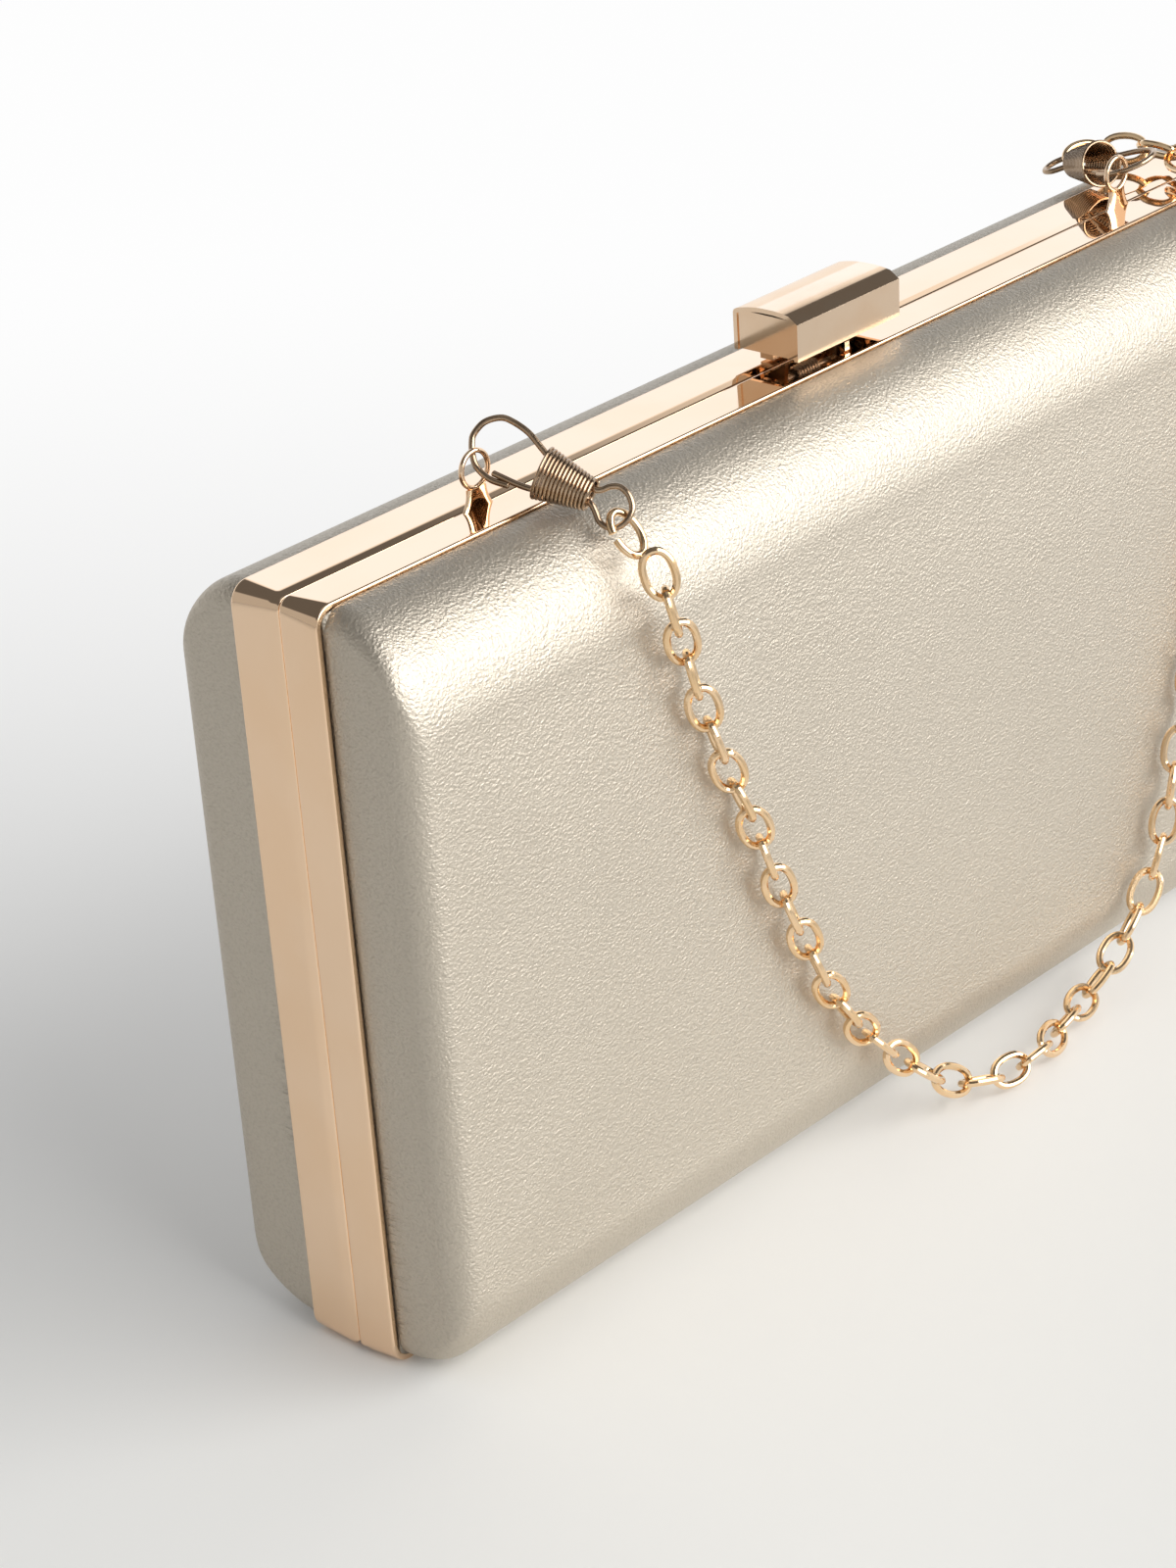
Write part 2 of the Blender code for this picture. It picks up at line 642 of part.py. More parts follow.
def make_clasp(rear, clasp, front):
    """Make the lifting clasp block with its base, latch, pin and spring."""
    half = CLASP_LENGTH / 2
    block = finish_mesh(
        "clasp_block", prism(clasp_outline(0), -half, half, along_x), clasp, "rose_gold"
    )
    inner = half - CLASP_WALL
    mesh = prism(clasp_outline(CLASP_WALL), -inner, inner, along_x)
    combine(block, make_cutter(finish_mesh("clasp_cavity", mesh, clasp, None)), "DIFFERENCE")

    top = CASE_HEIGHT + CLASP_CLEARANCE + CLASP_RISE - LATCH_TOP_DROP
    low = top - LATCH_THICKNESS
    lip = CASE_HEIGHT + CLASP_CLEARANCE + SEAT_GAP
    latch_outline = (
        (-LATCH_FRONT, lip),
        (LATCH_THICKNESS - LATCH_FRONT, lip),
        (LATCH_THICKNESS - LATCH_FRONT, low),
        (LATCH_BACK, low),
        (LATCH_BACK, top),
        (-LATCH_FRONT, top),
    )
    reach = inner - LATCH_END_ROOM
    ear_spacing = 2 * (reach - LATCH_EAR_INSET)
    base_reach = reach - CLASP_BASE_INSET
    latch = finish_mesh(
        "clasp_latch", prism(latch_outline, -reach, reach, along_x), clasp, "hinge_brass"
    )
    foot_low = CLASP_PLACE.y - CLASP_EAR_RADIUS
    foot_high = CLASP_PLACE.y + LATCH_BACK * LATCH_EAR_BACK_SHARE
    ears = ear_outline(foot_low, foot_high, top - LATCH_THICKNESS / 2)
    add_ears(latch, clasp, ear_spacing, ears)

    base_low = CASE_HEIGHT + SEAT_GAP
    base_high = base_low + CLASP_BASE_THICKNESS
    plate = rectangle(CLASP_BASE_FRONT, CLASP_BASE_BACK, base_low, base_high)
    base = finish_mesh("clasp_base", prism(plate, -base_reach, base_reach, along_x), rear, "hinge_brass")
    middle = (base_low + base_high) / 2
    ears = ear_outline(CLASP_BASE_FRONT, CLASP_BASE_BACK, middle)
    add_ears(base, rear, ear_spacing - 2 * CLASP_BASE_EAR_STEP, ears)

    reach = (ear_spacing + CLASP_EAR_THICKNESS) / 2
    pin = circle((CLASP_PLACE.y, CLASP_PLACE.z), CLASP_PIN_RADIUS)
    finish_mesh("clasp_pin", prism(pin, -reach, reach, along_x), rear, "spring_steel")

    steps = LIFT_SPRING_TURNS * COIL_POINTS_PER_TURN
    width = LIFT_SPRING_PITCH * LIFT_SPRING_TURNS
    points = []
    for step in range(steps + 1):
        angle = 2 * math.pi * step / COIL_POINTS_PER_TURN
        radial = Vector((0, math.cos(angle), math.sin(angle))) * LIFT_SPRING_RADIUS
        points.append(CLASP_PLACE + radial + Vector((width * (step / steps - 0.5), 0, 0)))
    make_tube("clasp_spring", points, LIFT_SPRING_WIRE / 2, rear, "spring_steel", 1)
    report_gap("clasp_spring", points, LIFT_SPRING_WIRE, COIL_POINTS_PER_TURN)

    half_post = CATCH_WIDTH / 2
    post = rectangle(-half_post, half_post, -CATCH_BACK - CATCH_WIDTH, -CATCH_BACK)
    span = (CASE_HEIGHT + SEAT_GAP, CASE_HEIGHT + SEAT_GAP + CATCH_HEIGHT)
    finish_mesh("catch_post", prism(post, *span, along_z), front, "hinge_brass")


def make_tube(name, points, radius, carrier, finish, resolution, cyclic=False):
    """Make a round wire or tube along points given from the parting plane."""
    data = bpy.data.curves.new(name, "CURVE")
    data.dimensions = "3D"
    data.bevel_depth = radius
    data.bevel_resolution = resolution
    data.render_resolution_u = 0
    data.use_fill_caps = True
    spline = data.splines.new("POLY")
    spline.points.add(len(points) - 1)
    origin = Vector(carrier["origin"])
    for target, point in zip(spline.points, points):
        target.co = (*(Vector(point) - origin), 1)
    spline.use_cyclic_u = cyclic
    spline.use_smooth = True
    data.materials.append(material(name, finish))
    return link(name, data, carrier)


def report_gap(name, points, wire, skip):
    """Print the least gap of a winding to itself, measured on its points."""
    places = np.array([tuple(point) for point in points])
    dense = np.concatenate([places[:-1], (places[:-1] + places[1:]) / 2])
    order = np.concatenate([np.arange(len(places) - 1), np.arange(len(places) - 1) + 0.5])
    spans = np.linalg.norm(dense[:, None] - dense[None], axis=2)
    far = np.abs(order[:, None] - order[None]) > skip / 2
    print(f"{name}: least gap to itself {(spans[far].min() - wire) / MM:.2f} mm")


def smooth_path(route, count=0, step=0):
    """Read a count of evenly spaced points, or points a step apart, from a smooth curve."""
    route = np.array([tuple(point) for point in route])
    padded = np.vstack([2 * route[0] - route[1], route, 2 * route[-1] - route[-2]])
    share = np.linspace(0, 1, 24, endpoint=False)[:, None]
    pieces = []
    for before, start, end, after in zip(padded, padded[1:], padded[2:], padded[3:]):
        pull = (end - before) / 2
        push = (after - start) / 2
        rise = end - start
        cubic = pull + push - 2 * rise
        square = 3 * rise - 2 * pull - push
        pieces.append(start + pull * share + square * share**2 + cubic * share**3)
    dense = np.vstack(pieces + [route[-1:]])
    length = np.concatenate([[0], np.cumsum(np.linalg.norm(np.diff(dense, axis=0), axis=1))])
    if step:
        count = round(length[-1] / step) + 1
    stops = np.linspace(0, length[-1], count)
    return [Vector([np.interp(stop, length, dense[:, axis]) for axis in range(3)]) for stop in stops]


class Hook:
    """A wire hook held by a lug's ring, in its own plane."""

    def __init__(self, side, axis_shares, side_shares):
        self.axis = Vector(axis_shares).normalized()
        across = Vector(side_shares)
        self.across = (across - self.axis * across.dot(self.axis)).normalized()
        play = (LUG_HOLE_RADIUS - HOOK_WIRE_RADIUS) * HOOK_SEAT_SHARE
        self.place = Vector()
        grip = lug_centre(side) + Vector((play, 0, 0))
        self.place = grip - self.at(HOOK_GRIP_SHARES)

    def at(self, shares):
        """Turn shares of the coil's length and wide radius into a position."""
        along, across = shares
        offset = self.axis * (along * COIL_LENGTH) + self.across * (across * COIL_WIDE_RADIUS)
        return self.place + offset

    def make_wire(self, name, carrier):
        """Make the bent wire that runs through the lug, the coil and the tail eye."""
        route = [self.at(shares) for shares in HOOK_OUTLINE_SHARES]
        points = smooth_path(route, step=HOOK_POINT_STEP)
        make_tube(name, points, HOOK_WIRE_RADIUS, carrier, "bronze_wire", 1)

    def make_coil(self, name, carrier):
        """Make the tapered coil sleeve wound round the two legs."""
        normal = self.axis.cross(self.across)
        steps = int(COIL_TURNS * COIL_POINTS_PER_TURN)
        wire = COIL_WIRE / 2
        points = []
        for step in range(steps + 1):
            share = step / steps
            angle = 2 * math.pi * step / COIL_POINTS_PER_TURN
            radius = COIL_WIDE_RADIUS + (COIL_NARROW_RADIUS - COIL_WIDE_RADIUS) * share - wire
            radial = self.across * math.cos(angle) + normal * math.sin(angle)
            advance = wire + (COIL_LENGTH - COIL_WIRE) * share
            points.append(self.place + self.axis * advance + radial * radius)
        make_tube(name, points, wire, carrier, "bronze_wire", 1)
        report_gap(name, points, COIL_WIRE, COIL_POINTS_PER_TURN)


def make_end_ring(name, carrier, hook, hold, axis_shares, side_shares, is_open):
    """Make the chain's end ring, hooked round one wire of a hook's tail eye."""
    axis = Vector(axis_shares).normalized()
    across = Vector(side_shares)
    across = (across - axis * across.dot(axis)).normalized()
    wire = CHAIN_WIRE / 2
    long = END_RING_LENGTH / 2 - wire
    wide = CHAIN_WIDTH / 2 - wire
    centre = hook.at(hold) + axis * (long - wire - HOOK_WIRE_RADIUS - SEAT_GAP)
    gap = END_RING_GAP_SHARE * 2 * math.pi if is_open else 0
    start = END_RING_GAP_START_SHARE * math.pi
    count = RING_STEPS + 1 if is_open else RING_STEPS
    angles = np.linspace(start + gap / 2, start + 2 * math.pi - gap / 2, RING_STEPS + 1)[:count]
    points = [
        centre + axis * (-long * math.sin(angle)) + across * (wide * math.cos(angle))
        for angle in angles
    ]
    make_tube(name, points, wire, carrier, "rose_gold", 2, cyclic=not is_open)


def clear_scene():
    """Start from an empty scene."""
    for item in list(bpy.data.objects):
        bpy.data.objects.remove(item, do_unlink=True)


def main():
    """Build the whole clutch."""
    clear_scene()
    part = make_empty("clutch", (0, 0, 0), None)
    part.location.y = PARTING_PLACE
    front = make_empty("front_half", (0, 0, 0), part)
    rear = make_empty("rear_half", HINGE_PLACE, part)
    clasp = make_empty("clasp", CLASP_PLACE, rear)

    frames = (make_frame("front_frame", front, FRONT), make_frame("rear_frame", rear, REAR))
    make_bottom_relief(frames, (front, rear))
    make_half_layers("front", front, FRONT)
    make_half_layers("rear", rear, REAR)
    for word, side in (("left", LEFT), ("right", RIGHT)):
        make_hinge(word, front, rear, frames, side * HINGE_SPACING / 2)
        make_lug(word, front, frames[0], side)
    make_clasp(rear, clasp, front)

    left_hook = Hook(LEFT, LEFT_HOOK_AXIS_SHARES, LEFT_HOOK_SIDE_SHARES)
    right_hook = Hook(RIGHT, RIGHT_HOOK_AXIS_SHARES, RIGHT_HOOK_SIDE_SHARES)
    for word, hook in (("left", left_hook), ("right", right_hook)):
        hook.make_wire(word + "_hook_wire", front)
        hook.make_coil(word + "_hook_coil", front)
    make_end_ring(
        "left_chain_ring",
        front,
        left_hook,
        LEFT_RING_HOLD_SHARES,
        LEFT_RING_AXIS_SHARES,
        LEFT_RING_SIDE_SHARES,
        True,
    )
    make_end_ring(
        "right_chain_ring",
        front,
        right_hook,
        RIGHT_RING_HOLD_SHARES,
        RIGHT_RING_AXIS_SHARES,
        RIGHT_RING_SIDE_SHARES,
        False,
    )
    points = smooth_path(CHAIN_ROUTE, count=CHAIN_POINTS)
    make_tube("chain", points, CHAIN_WIDTH / 2, front, "rose_gold", 2)
    bpy.context.view_layer.update()


main()
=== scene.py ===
"""Looks of a hard-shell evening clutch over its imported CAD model.

Lengths are in metres, +Z is up and the front faces -Y. Shapes are worked out from
the parting plane between the two rims, and every mesh is moved to its place by the
parting offset, so each finished object sits at the origin.
"""

import logging
import math
from dataclasses import dataclass
from enum import Enum

import bmesh
import bpy
import numpy as np
from mathutils import Matrix, Vector


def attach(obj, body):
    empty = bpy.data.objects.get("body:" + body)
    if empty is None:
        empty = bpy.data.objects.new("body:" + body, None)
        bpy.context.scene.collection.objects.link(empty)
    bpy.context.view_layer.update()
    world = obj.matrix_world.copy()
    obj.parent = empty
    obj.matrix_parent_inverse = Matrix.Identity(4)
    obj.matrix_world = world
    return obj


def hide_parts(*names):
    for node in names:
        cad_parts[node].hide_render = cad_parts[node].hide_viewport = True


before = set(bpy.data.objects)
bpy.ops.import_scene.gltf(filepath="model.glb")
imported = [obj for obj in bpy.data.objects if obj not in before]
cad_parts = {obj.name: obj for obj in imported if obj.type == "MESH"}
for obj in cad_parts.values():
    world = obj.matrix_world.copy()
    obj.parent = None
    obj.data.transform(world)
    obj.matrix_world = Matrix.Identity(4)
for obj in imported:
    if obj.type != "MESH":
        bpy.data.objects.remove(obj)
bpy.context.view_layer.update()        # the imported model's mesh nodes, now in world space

LOG = logging.getLogger("clutch")

Array = np.ndarray
Colour = tuple[float, float, float]
Point = tuple[float, float, float]
Span = tuple[float, float]

MM = 0.001
DEG = math.pi / 180
# Place of the parting plane
PARTING_OFFSET = np.array((0.0, -1.0 * MM, 0.0))
# Turn between two faces above which their edge stays sharp
SHARP_ANGLE = 32 * DEG
# Steps of a smooth curve between two points of its route
SPAN_STEPS = 24
# Reach of the guard points beside a rounded corner, as a share of the corner's own
GUARD_REACH = 1.25
# Shares of a rounded end's depth at which its rings stand
END_LIFTS = np.array((0.3, 0.6, 0.85, 0.97))
# Sockets of a node that carries one span of values to another
SPAN_SOCKETS = ("From Min", "From Max", "To Min", "To Max")


class Body(Enum):
    """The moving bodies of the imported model."""

    FRONT = "front_half"
    REAR = "rear_half"
    CLASP = "clasp"


class Side(Enum):
    """Left or right, as the sign of X."""

    LEFT = -1
    RIGHT = 1

    @property
    def word(self) -> str:
        """Name of the side as the nodes spell it."""
        return self.name.lower()


class Half(Enum):
    """Front or rear half of the case, as the sign of Y."""

    FRONT = -1
    REAR = 1

    @property
    def word(self) -> str:
        """Name of the half as the nodes spell it."""
        return self.name.lower()

    @property
    def body(self) -> Body:
        """Body that carries the half."""
        return Body.FRONT if self is Half.FRONT else Body.REAR


# Arrays and meshes


def lattice(rows: int, columns: int, wrap_rows: bool, wrap_columns: bool) -> Array:
    """Number the quads of a grid of points.

    Point (i, j) has number i * columns + j; the quad at (i, j) joins it to its
    neighbours one row and one column on, with the last going back to the first
    where the grid wraps.

    Args:
        rows: Count of rows.
        columns: Count of columns.
        wrap_rows: Whether the last row joins the first.
        wrap_columns: Whether the last column joins the first.

    Returns:
        Quads as rows of four point numbers.
    """
    i, j = np.meshgrid(
        np.arange(rows if wrap_rows else rows - 1),
        np.arange(columns if wrap_columns else columns - 1),
        indexing="ij",
    )
    after_i, after_j = (i + 1) % rows, (j + 1) % columns
    corners = (i * columns + j, i * columns + after_j, after_i * columns + after_j)
    return np.stack((*corners, after_i * columns + j), axis=-1).reshape(-1, 4)


@dataclass
class Surface:
    """Points and faces of one mesh, measured from the parting plane.

    Attributes:
        points: Positions, one row each.
        faces: Lists of point numbers, one list per face.
        spots: Optional pair of pattern coordinates per point, in metres.
    """

    points: Array
    faces: list[list[int]]
    spots: Array | None = None

    @classmethod
    def from_grid(
        cls,
        grid: Array,
        wrap_rows: bool = False,
        wrap_columns: bool = False,
        capped: bool = False,
        spots: Array | None = None,
    ) -> "Surface":
        """Make a surface from a grid of points.

        Args:
            grid: Positions in rows and columns.
            wrap_rows: Whether the last row joins the first.
            wrap_columns: Whether the last column joins the first.
            capped: Whether the first and last rows are closed with a face each.
            spots: Optional pattern coordinates in the same rows and columns.

        Returns:
            The surface.
        """
        rows, columns = grid.shape[:2]
        faces = lattice(rows, columns, wrap_rows, wrap_columns).tolist()
        if capped:
            first = list(range(columns))
            faces += [first[::-1], [(rows - 1) * columns + j for j in first]]
        flat = None if spots is None else spots.reshape(-1, 2)
        return cls(grid.reshape(-1, 3), faces, flat)

    def joined(self, *others: "Surface") -> "Surface":
        """Put several surfaces in one mesh.

        Args:
            others: The surfaces to add.

        Returns:
            One surface with all points and faces.
        """
        points, faces = [self.points], list(self.faces)
        count = len(self.points)
        for other in others:
            faces += [[number + count for number in face] for face in other.faces]
            points.append(other.points)
            count += len(other.points)
        return Surface(np.vstack(points), faces)

    def to_object(self, name: str) -> bpy.types.Object:
        """Make a smooth-shaded object at the origin, with its faces turned outward.

        Args:
            name: Name of the object.

        Returns:
            The object, linked to the scene.
        """
        mesh = bpy.data.meshes.new(name)
        mesh.from_pydata((self.points + PARTING_OFFSET).tolist(), [], self.faces)
        if self.spots is not None:
            layer = mesh.uv_layers.new(name="surface")
            numbers = np.zeros(len(mesh.loops), dtype=np.int32)
            mesh.loops.foreach_get("vertex_index", numbers)
            layer.data.foreach_set("uv", self.spots[numbers].ravel().astype(np.float32))
        work = bmesh.new()
        work.from_mesh(mesh)
        bmesh.ops.recalc_face_normals(work, faces=work.faces)
        work.to_mesh(mesh)
        work.free()
        mesh.shade_smooth()
        mesh.set_sharp_from_angle(angle=SHARP_ANGLE)
        piece = bpy.data.objects.new(name, mesh)
        bpy.context.scene.collection.objects.link(piece)
        return piece


def unit(vectors: Array) -> Array:
    """Scale vectors along the last axis to length one."""
    return vectors / np.linalg.norm(vectors, axis=-1, keepdims=True)


def flatten(wave: Array, power: float) -> Array:
    """Raise a cosine or sine to a power below one with its sign kept, which squares a circle's sides."""
    return np.sign(wave) * np.abs(wave) ** power


def square_to(vectors: Array, axes: Array) -> Array:
    """Drop from each vector its share along an axis, then scale it to length one."""
    along = np.sum(vectors * axes, axis=-1, keepdims=True)
    return unit(vectors - along * axes)


def curve_through(route: Array, step: float) -> Array:
    """Read evenly spaced points from a smooth curve through a route.

    Each span is the cubic whose slope at a route point is half the way from the
    point before to the point after; a point is added beyond each end in line.

    Args:
        route: Points to pass through, one row each.
        step: Wanted distance between the points read.

    Returns:
        Evenly spaced points, both ends included.
    """
    padded = np.vstack([2 * route[0] - route[1], route, 2 * route[-1] - route[-2]])
    share = np.linspace(0, 1, SPAN_STEPS, endpoint=False)[None, :, None]
    before, start, end, after = (padded[k : len(padded) - 3 + k, None] for k in range(4))
    pull, push, rise = (end - before) / 2, (after - start) / 2, end - start
    cubic = pull + push - 2 * rise
    square = 3 * rise - 2 * pull - push
    dense = start + pull * share + square * share**2 + cubic * share**3
    dense = np.vstack([dense.reshape(-1, 3), route[-1:]])
    stops = lengths_along(dense)
    count = int(round(stops[-1] / step)) + 1
    wanted = np.linspace(0, stops[-1], count)
    return read_along(dense, stops, wanted)


def lengths_along(points: Array) -> Array:
    """Length of a line of points up to each of them."""
    return np.concatenate([[0], np.cumsum(np.linalg.norm(np.diff(points, axis=0), axis=1))])


def read_along(points: Array, stops: Array, wanted: Array) -> Array:
    """Positions at given lengths along a line of points."""
    return np.stack([np.interp(wanted, stops, points[:, axis]) for axis in range(3)], axis=1)


def soften(outline: Array, reaches: Array, steps: int) -> Array:
    """Round the corners of a closed flat outline.

    A corner P gives way to the curve (1-t)^2 A + 2t(1-t) P + t^2 B, where A and B
    lie on its two edges at its reach from P. A guard point just before A and just
    after B keeps the edges flat in the shading.

    Args:
        outline: Corners, one row of two numbers each.
        reaches: How far each corner's rounding goes along its edges.
        steps: Count of chords in each corner.

    Returns:
        Points of the rounded outline.
    """
    reach = reaches[:, None]
    back = unit(np.roll(outline, 1, axis=0) - outline)
    ahead = unit(np.roll(outline, -1, axis=0) - outline)
    share = np.linspace(0, 1, steps + 1)[None, :, None]
    one, two = (outline + back * reach)[:, None], (outline + ahead * reach)[:, None]
    curve = (1 - share) ** 2 * one + 2 * share * (1 - share) * outline[:, None]
    curve = curve + share**2 * two
    guards = [(outline + way * reach * GUARD_REACH)[:, None] for way in (back, ahead)]
    return np.concatenate([guards[0], curve, guards[1]], axis=1).reshape(-1, 2)


def draw_in(outline: Array, wall: float) -> Array:
    """Draw an open outline inwards by a wall, square to its run.

    Args:
        outline: Points of the outline, one row of two numbers each.
        wall: Thickness of the wall.

    Returns:
        Points of the drawn-in outline.
    """
    run = unit(np.gradient(outline, axis=0))
    return outline + np.stack([run[:, 1], -run[:, 0]], axis=1) * wall


def tube(
    path: Array,
    radius: Array | float,
    sides: int,
    normals: Array,
    closed: bool = False,
    round_ends: float = 0.0,
) -> Surface:
    """Carry a circle along a path.

    The circle's point at angle a is path + radius * (cos a * normal + sin a * side),
    with side square to both the path and the normal. A rounded end adds a few rings
    that follow a quarter circle of the given depth.

    Args:
        path: Points along the middle.
        radius: Radius of the tube, one for all or one per point.
        sides: Count of sides.
        normals: Direction of angle zero at each point.
        closed: Whether the path is a loop.
        round_ends: How far the rounded ends reach past the path.

    Returns:
        The tube's surface.
    """
    radii = np.broadcast_to(np.asarray(radius, dtype=float), (len(path),)).copy()
    if closed:
        tangents = unit(np.roll(path, -1, axis=0) - np.roll(path, 1, axis=0))
    else:
        tangents = unit(np.gradient(path, axis=0))
    normals = np.broadcast_to(normals, path.shape)
    if round_ends:
        rings = len(END_LIFTS)
        shrink = np.sqrt(1 - END_LIFTS**2)[::-1]
        ahead = tangents[-1] * (END_LIFTS * round_ends)[:, None]
        behind = tangents[0] * (-END_LIFTS[::-1] * round_ends)[:, None]
        path = np.vstack([path[0] + behind, path, path[-1] + ahead])
        radii = np.concatenate([radii[0] * shrink, radii, radii[-1] * shrink[::-1]])
        tangents, normals = (np.pad(rows, ((rings, rings), (0, 0)), "edge") for rows in (tangents, normals))
    normals = square_to(normals, tangents)
    binormals = np.cross(tangents, normals)
    angles = np.linspace(0, 2 * math.pi, sides, endpoint=False)[None, :, None]
    ring = np.cos(angles) * normals[:, None] + np.sin(angles) * binormals[:, None]
    grid = path[:, None] + radii[:, None, None] * ring
    return Surface.from_grid(grid, wrap_rows=closed, wrap_columns=True, capped=not closed)


# Finishes


class NodeGraph:
    """Nodes of one node tree, with short calls for those that are used here."""

    def __init__(self, tree: bpy.types.NodeTree) -> None:
        """Work on one node tree."""
        self.tree = tree

    def add(self, kind: str, **values: object) -> bpy.types.Node:
        """Add a node and set its plain properties.

        Args:
            kind: Blender's name of the node type.
            values: Properties of the node.

        Returns:
            The node.
        """
        node = self.tree.nodes.new(kind)
        for key, value in values.items():
            setattr(node, key, value)
        return node

    def feed(self, source: bpy.types.NodeSocket, target: bpy.types.NodeSocket) -> None:
        """Link one socket to another."""
        self.tree.links.new(source, target)

    def math(
        self, operation: str, one: bpy.types.NodeSocket, two: bpy.types.NodeSocket | float
    ) -> bpy.types.NodeSocket:
        """Combine two values.

        Args:
            operation: Blender's name of the operation.
            one: First value.
            two: Second value, a socket or a number.

        Returns:
            The result.
        """
        node = self.add("ShaderNodeMath", operation=operation)
        self.feed(one, node.inputs[0])
        if isinstance(two, bpy.types.NodeSocket):
            self.feed(two, node.inputs[1])
        else:
            node.inputs[1].default_value = two
        return node.outputs[0]

    def along(self, source: bpy.types.NodeSocket, axis: Point) -> bpy.types.NodeSocket:
        """Read how far a vector goes along an axis.

        Args:
            source: The vector.
            axis: Direction of the axis.

        Returns:
            Their dot product.
        """
        node = self.add("ShaderNodeVectorMath", operation="DOT_PRODUCT")
        self.feed(source, node.inputs[0])
        node.inputs[1].default_value = axis
        return node.outputs["Value"]

    def remap(
        self, source: bpy.types.NodeSocket, low: float, high: float, to_low: float, to_high: float
    ) -> bpy.types.NodeSocket:
        """Carry a span of values smoothly to another, held at its ends.

        Args:
            source: The value.
            low: Start of its span.
            high: End of its span.
            to_low: What the start becomes.
            to_high: What the end becomes.

        Returns:
            The carried value.
        """
        node = self.add("ShaderNodeMapRange", interpolation_type="SMOOTHSTEP")
        self.feed(source, node.inputs["Value"])
        for key, value in zip(SPAN_SOCKETS, (low, high, to_low, to_high)):
            node.inputs[key].default_value = value
        return node.outputs["Result"]

    def blend(
        self,
        share: bpy.types.NodeSocket,
        one: bpy.types.NodeSocket | Colour,
        two: bpy.types.NodeSocket | Colour,
    ) -> bpy.types.NodeSocket:
        """Mix two colours.

        Args:
            share: Share of the second colour.
            one: First colour, plain or linked.
            two: Second colour, plain or linked.

        Returns:
            The mixed colour.
        """
        node = self.add("ShaderNodeMix", data_type="RGBA")
        self.feed(share, node.inputs["Factor"])
        targets = [item for item in node.inputs if item.type == "RGBA"]
        for target, value in zip(targets, (one, two)):
            if isinstance(value, bpy.types.NodeSocket):
                self.feed(value, target)
            else:
                target.default_value = (*value, 1.0)
        return [item for item in node.outputs if item.type == "RGBA"][0]


class FinishGraph(NodeGraph):
    """Shader nodes of one material, on the object's own coordinates."""

    def __init__(self, name: str) -> None:
        """Start a material with one Principled shader.

        Args:
            name: Name of the material.
        """
        self.material = bpy.data.materials.new(name)
        self.material.use_nodes = True
        super().__init__(self.material.node_tree)
        self.shader = self.tree.nodes["Principled BSDF"]
        self.place = self.add("ShaderNodeTexCoord").outputs["Object"]
        self.spot = self.add("ShaderNodeTexCoord").outputs["UV"]

    def stretch(self, source: bpy.types.NodeSocket, scale: Point) -> bpy.types.NodeSocket:
        """Scale coordinates differently along each axis.

        Args:
            source: The coordinates.
            scale: Scale along each axis.

        Returns:
            The scaled coordinates.
        """
        node = self.add("ShaderNodeMapping")
        self.feed(source, node.inputs["Vector"])
        node.inputs["Scale"].default_value = scale
        return node.outputs["Vector"]

    def noise(
        self, scale: float, detail: float = 3.0, place: bpy.types.NodeSocket | None = None
    ) -> bpy.types.NodeSocket:
        """Add fractal noise.

        Args:
            scale: Repeats per metre.
            detail: Count of octaves.
            place: Coordinates, the object's own if left out.

        Returns:
            The noise between zero and one.
        """
        node = self.add("ShaderNodeTexNoise")
        self.feed(place or self.place, node.inputs["Vector"])
        node.inputs["Scale"].default_value = scale
        node.inputs["Detail"].default_value = detail
        return node.outputs["Fac"]

    def cells(
        self, scale: float, place: bpy.types.NodeSocket, smoothness: float
    ) -> bpy.types.NodeSocket:
        """Add rounded cells.

        Args:
            scale: Repeats per metre.
            place: Coordinates.
            smoothness: How softly the cells meet.

        Returns:
            Distance to the nearest of scattered points.
        """
        node = self.add("ShaderNodeTexVoronoi", feature="SMOOTH_F1")
        self.feed(place, node.inputs["Vector"])
        node.inputs["Scale"].default_value = scale
        node.inputs["Smoothness"].default_value = smoothness
        return node.outputs["Distance"]

    def bump(
        self,
        height: bpy.types.NodeSocket,
        depth: float,
        strength: float = 1.0,
        under: bpy.types.NodeSocket | None = None,
    ) -> bpy.types.NodeSocket:
        """Turn a height into a normal.

        Args:
            height: Height between zero and one.
            depth: Real height of one, in metres.
            strength: Share of the effect.
            under: Normal of a coarser relief below.

        Returns:
            The normal.
        """
        node = self.add("ShaderNodeBump")
        self.feed(height, node.inputs["Height"])
        node.inputs["Distance"].default_value = depth
        node.inputs["Strength"].default_value = strength
        if under:
            self.feed(under, node.inputs["Normal"])
        return node.outputs["Normal"]

    def shade(self, **sockets: bpy.types.NodeSocket | float | Colour) -> bpy.types.Material:
        """Set or link the shader's sockets, named with underscores for spaces.

        Args:
            sockets: Value or source of each socket.

        Returns:
            The finished material.
        """
        for key, value in sockets.items():
            target = self.shader.inputs[key.replace("_", " ")]
            if isinstance(value, bpy.types.NodeSocket):
                self.feed(value, target)
            elif isinstance(value, tuple):
                target.default_value = (*value, 1.0)
            else:
                target.default_value = value
        return self.material


